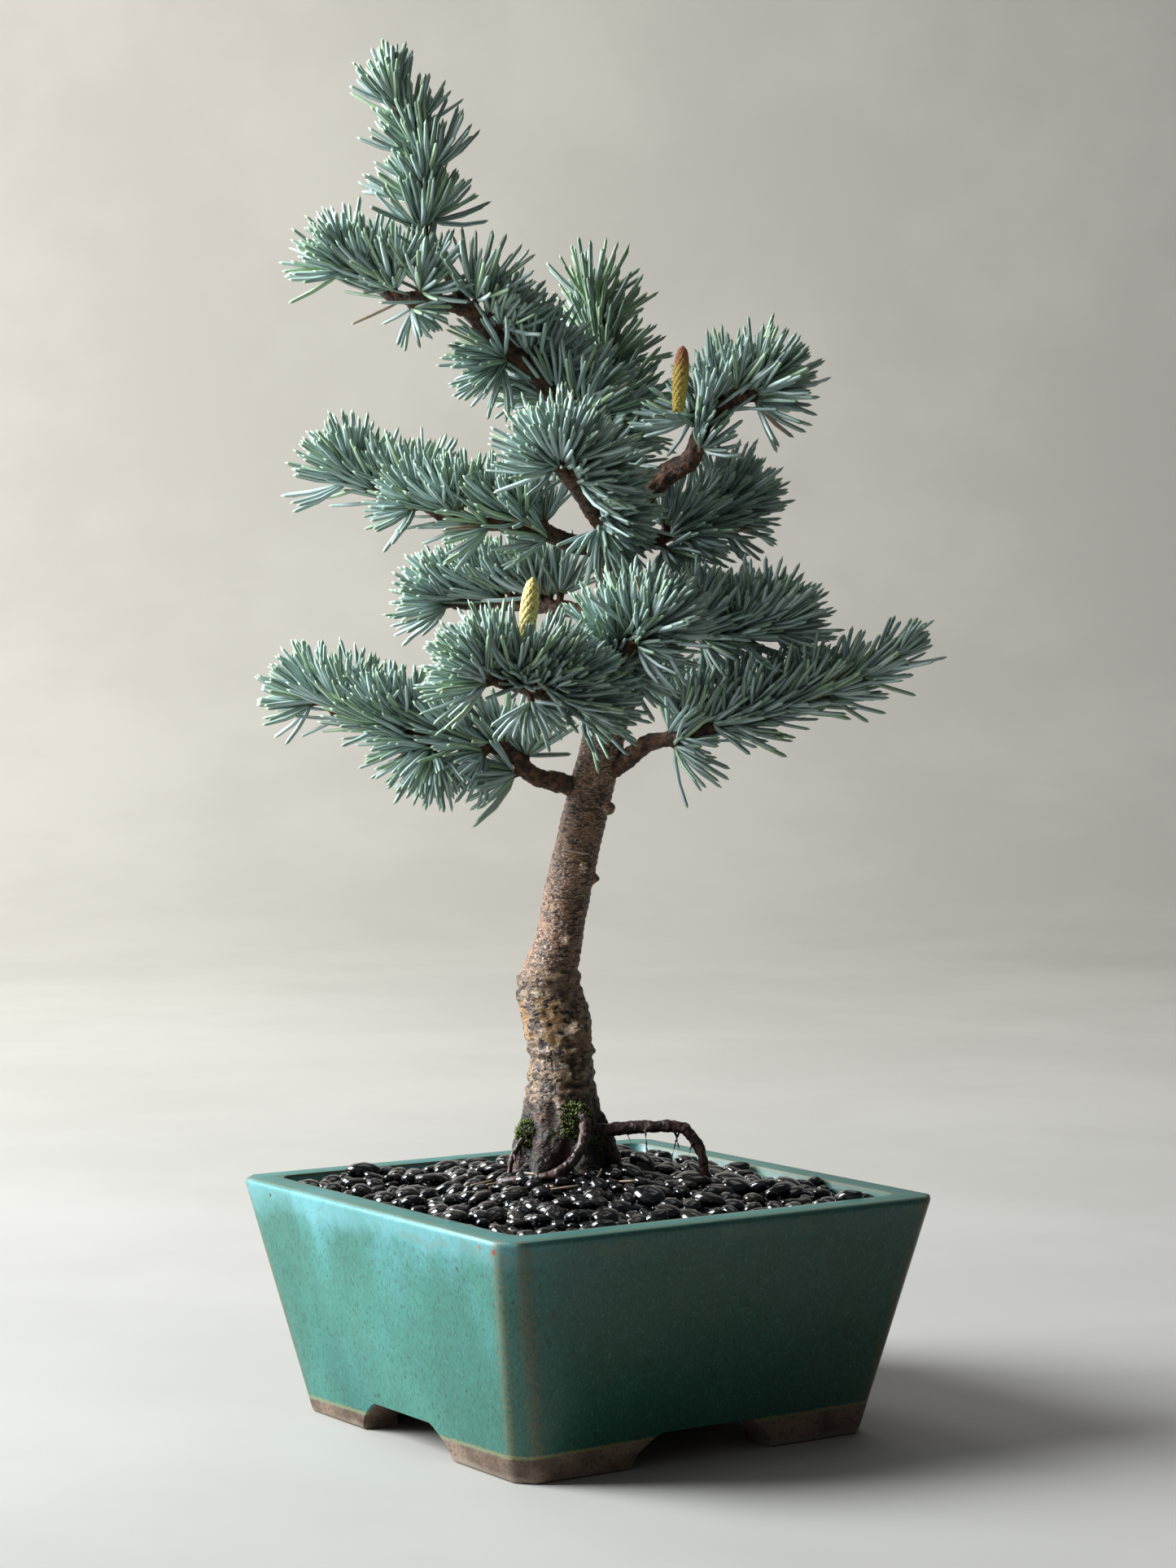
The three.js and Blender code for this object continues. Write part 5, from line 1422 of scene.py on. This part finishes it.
# %% Dropped needles and the shoot's bud
count = 7
spots = np.column_stack([dice.uniform(-38, 34, count), dice.uniform(-40, -14, count)])
turn = dice.uniform(0, math.pi, count)
feet = np.column_stack([spots, np.zeros(count)])
feet[:, 2] = bed_surface(*(to_pot(feet)[:, :2] / MM).T) - CROWN + 2.4
ways = np.column_stack([np.cos(turn), np.sin(turn), dice.uniform(-0.1, 0.12, count)])
feet = np.vstack([feet, [2.5, -4.2, 103.5]])
ways = np.vstack([ways, [-1, 0.02, 0.1]])
lengths = np.append(dice.uniform(10, 16, count), 9.0)
every = count + 1
copies, uvs = grow_needles(feet, ways, np.repeat([[0, 0, 1.0]], every, 0), lengths, np.full(every, 0.42),
                           dice.normal(0, 0.1, every), np.full(every, DRY))
dropped = mesh_of_copies("dropped_needles", in_pot(copies), needle_faces, uvs=uvs)
settle(dropped, needle_finish, "needles")
bud_finish = cone_finish("bud_scales", colour(150, 92, 52), colour(196, 128, 78), 0.242, 0.232)
end, radius, way = at_share(routes["low_left"], 0.86)
end = end + (0, -1.6, -1)
bud = cone_piece("shoot_bud", end - way * 3, end + way * 4, 1.9, 0.02, 46)
settle(bud, bud_finish, "branch_bark")
print("dropped needles", every)

# %% [markdown]
# The tree stands on a plain pale floor that turns up into a wall a long way behind it. It is lit like
# a table by a window: one large soft light from the left and a little behind, and a weak fill, so the
# pot's right side stays dark. The camera is far off with a long lens, a little above the rim.

# %% Floor, light and camera
FLOOR_SIZE, WALL_HEIGHT, COVE = 6.0, 4.0, 1.2  # metres; the cove is the curve between the two
deselect()
bpy.ops.mesh.primitive_plane_add(size=FLOOR_SIZE, location=(0, 0, 0))
floor = bpy.context.object
floor.name = "studio_floor"
bpy.ops.object.mode_set(mode="EDIT")
far_edge = FLOOR_SIZE / 2
pick(floor, "edges", lambda middle, along: middle.y > far_edge - 0.1)
bpy.ops.mesh.extrude_region_move(TRANSFORM_OT_translate={"value": (0, 0, WALL_HEIGHT)})
pick(floor, "edges", lambda middle, along: abs(middle.y - far_edge) < 0.01 and abs(middle.z) < 0.01)
bpy.ops.mesh.bevel(offset=COVE, segments=12, profile=0.5)
bpy.ops.object.mode_set(mode="OBJECT")
floor.rotation_euler.z = FRONT_TURN
bpy.ops.object.transform_apply(location=True, rotation=True, scale=True)
bpy.ops.object.shade_smooth()
pale, tree, shader, place = new_material("pale_floor", 0.75)
pale_tone, _ = use_blotches(tree, place, 3, colour(152, 150, 145), colour(158, 156, 151))
tree.links.new(pale_tone, shader.inputs["Base Color"])
floor.data.materials.append(pale)


def area_light(name, place, aim, size, power, tint):
    """A soft rectangular light at a place in the tree's frame (metres), aimed at a point."""
    data = bpy.data.lights.new(name, "AREA")
    data.shape = "RECTANGLE"
    data.size, data.size_y = size
    data.energy = power
    data.color = tint
    light = bpy.data.objects.new(name, data)
    bpy.context.collection.objects.link(light)
    spot = Vector(to_pot(np.array(place) / MM)[0]) - Vector((0, 0, CROWN * MM))
    light.location = spot
    light.rotation_euler = (Vector(aim) - spot).to_track_quat("-Z", "Y").to_euler()


area_light("window", (-1.5, 0.0, 1.0), (0, 0, 0.22), (1.0, 1.2), 118, (0.93, 0.97, 1.0))
area_light("front_fill", (-0.9, -1.9, 1.3), (0, 0, 0.22), (1.6, 1.6), 1.2, (1.0, 0.98, 0.95))
area_light("top", (0.2, 0.4, 2.0), (0, 0, 0.2), (1.4, 1.4), 7, (1.0, 1.0, 1.0))
area_light("wall_wash", (-1.2, 1.6, 1.2), (2.1, 2.1, 0.5), (1.5, 1.5), 55, (1.0, 0.97, 0.92))
world = bpy.data.worlds.new("studio")
bpy.context.scene.world = world
world.use_nodes = True
world.node_tree.nodes["Background"].inputs["Color"].default_value = (0.72, 0.76, 0.8, 1)
world.node_tree.nodes["Background"].inputs["Strength"].default_value = 0.1

camera_data = bpy.data.cameras.new("long_lens")
camera_data.lens = 78.0
camera_data.sensor_width = 36.0
camera_data.clip_end = 20
camera = bpy.data.objects.new("camera", camera_data)
bpy.context.collection.objects.link(camera)
camera.location = (-0.6240, -0.9251, 0.2464)
pitch = math.radians(1.85)
look = Vector((0.5606 * math.cos(pitch), 0.8281 * math.cos(pitch), -math.sin(pitch)))
camera.rotation_euler = look.to_track_quat("-Z", "Y").to_euler()
bpy.context.scene.camera = camera
bpy.context.scene.view_settings.view_transform = "Standard"
print("camera", tuple(round(v, 3) for v in camera.location))
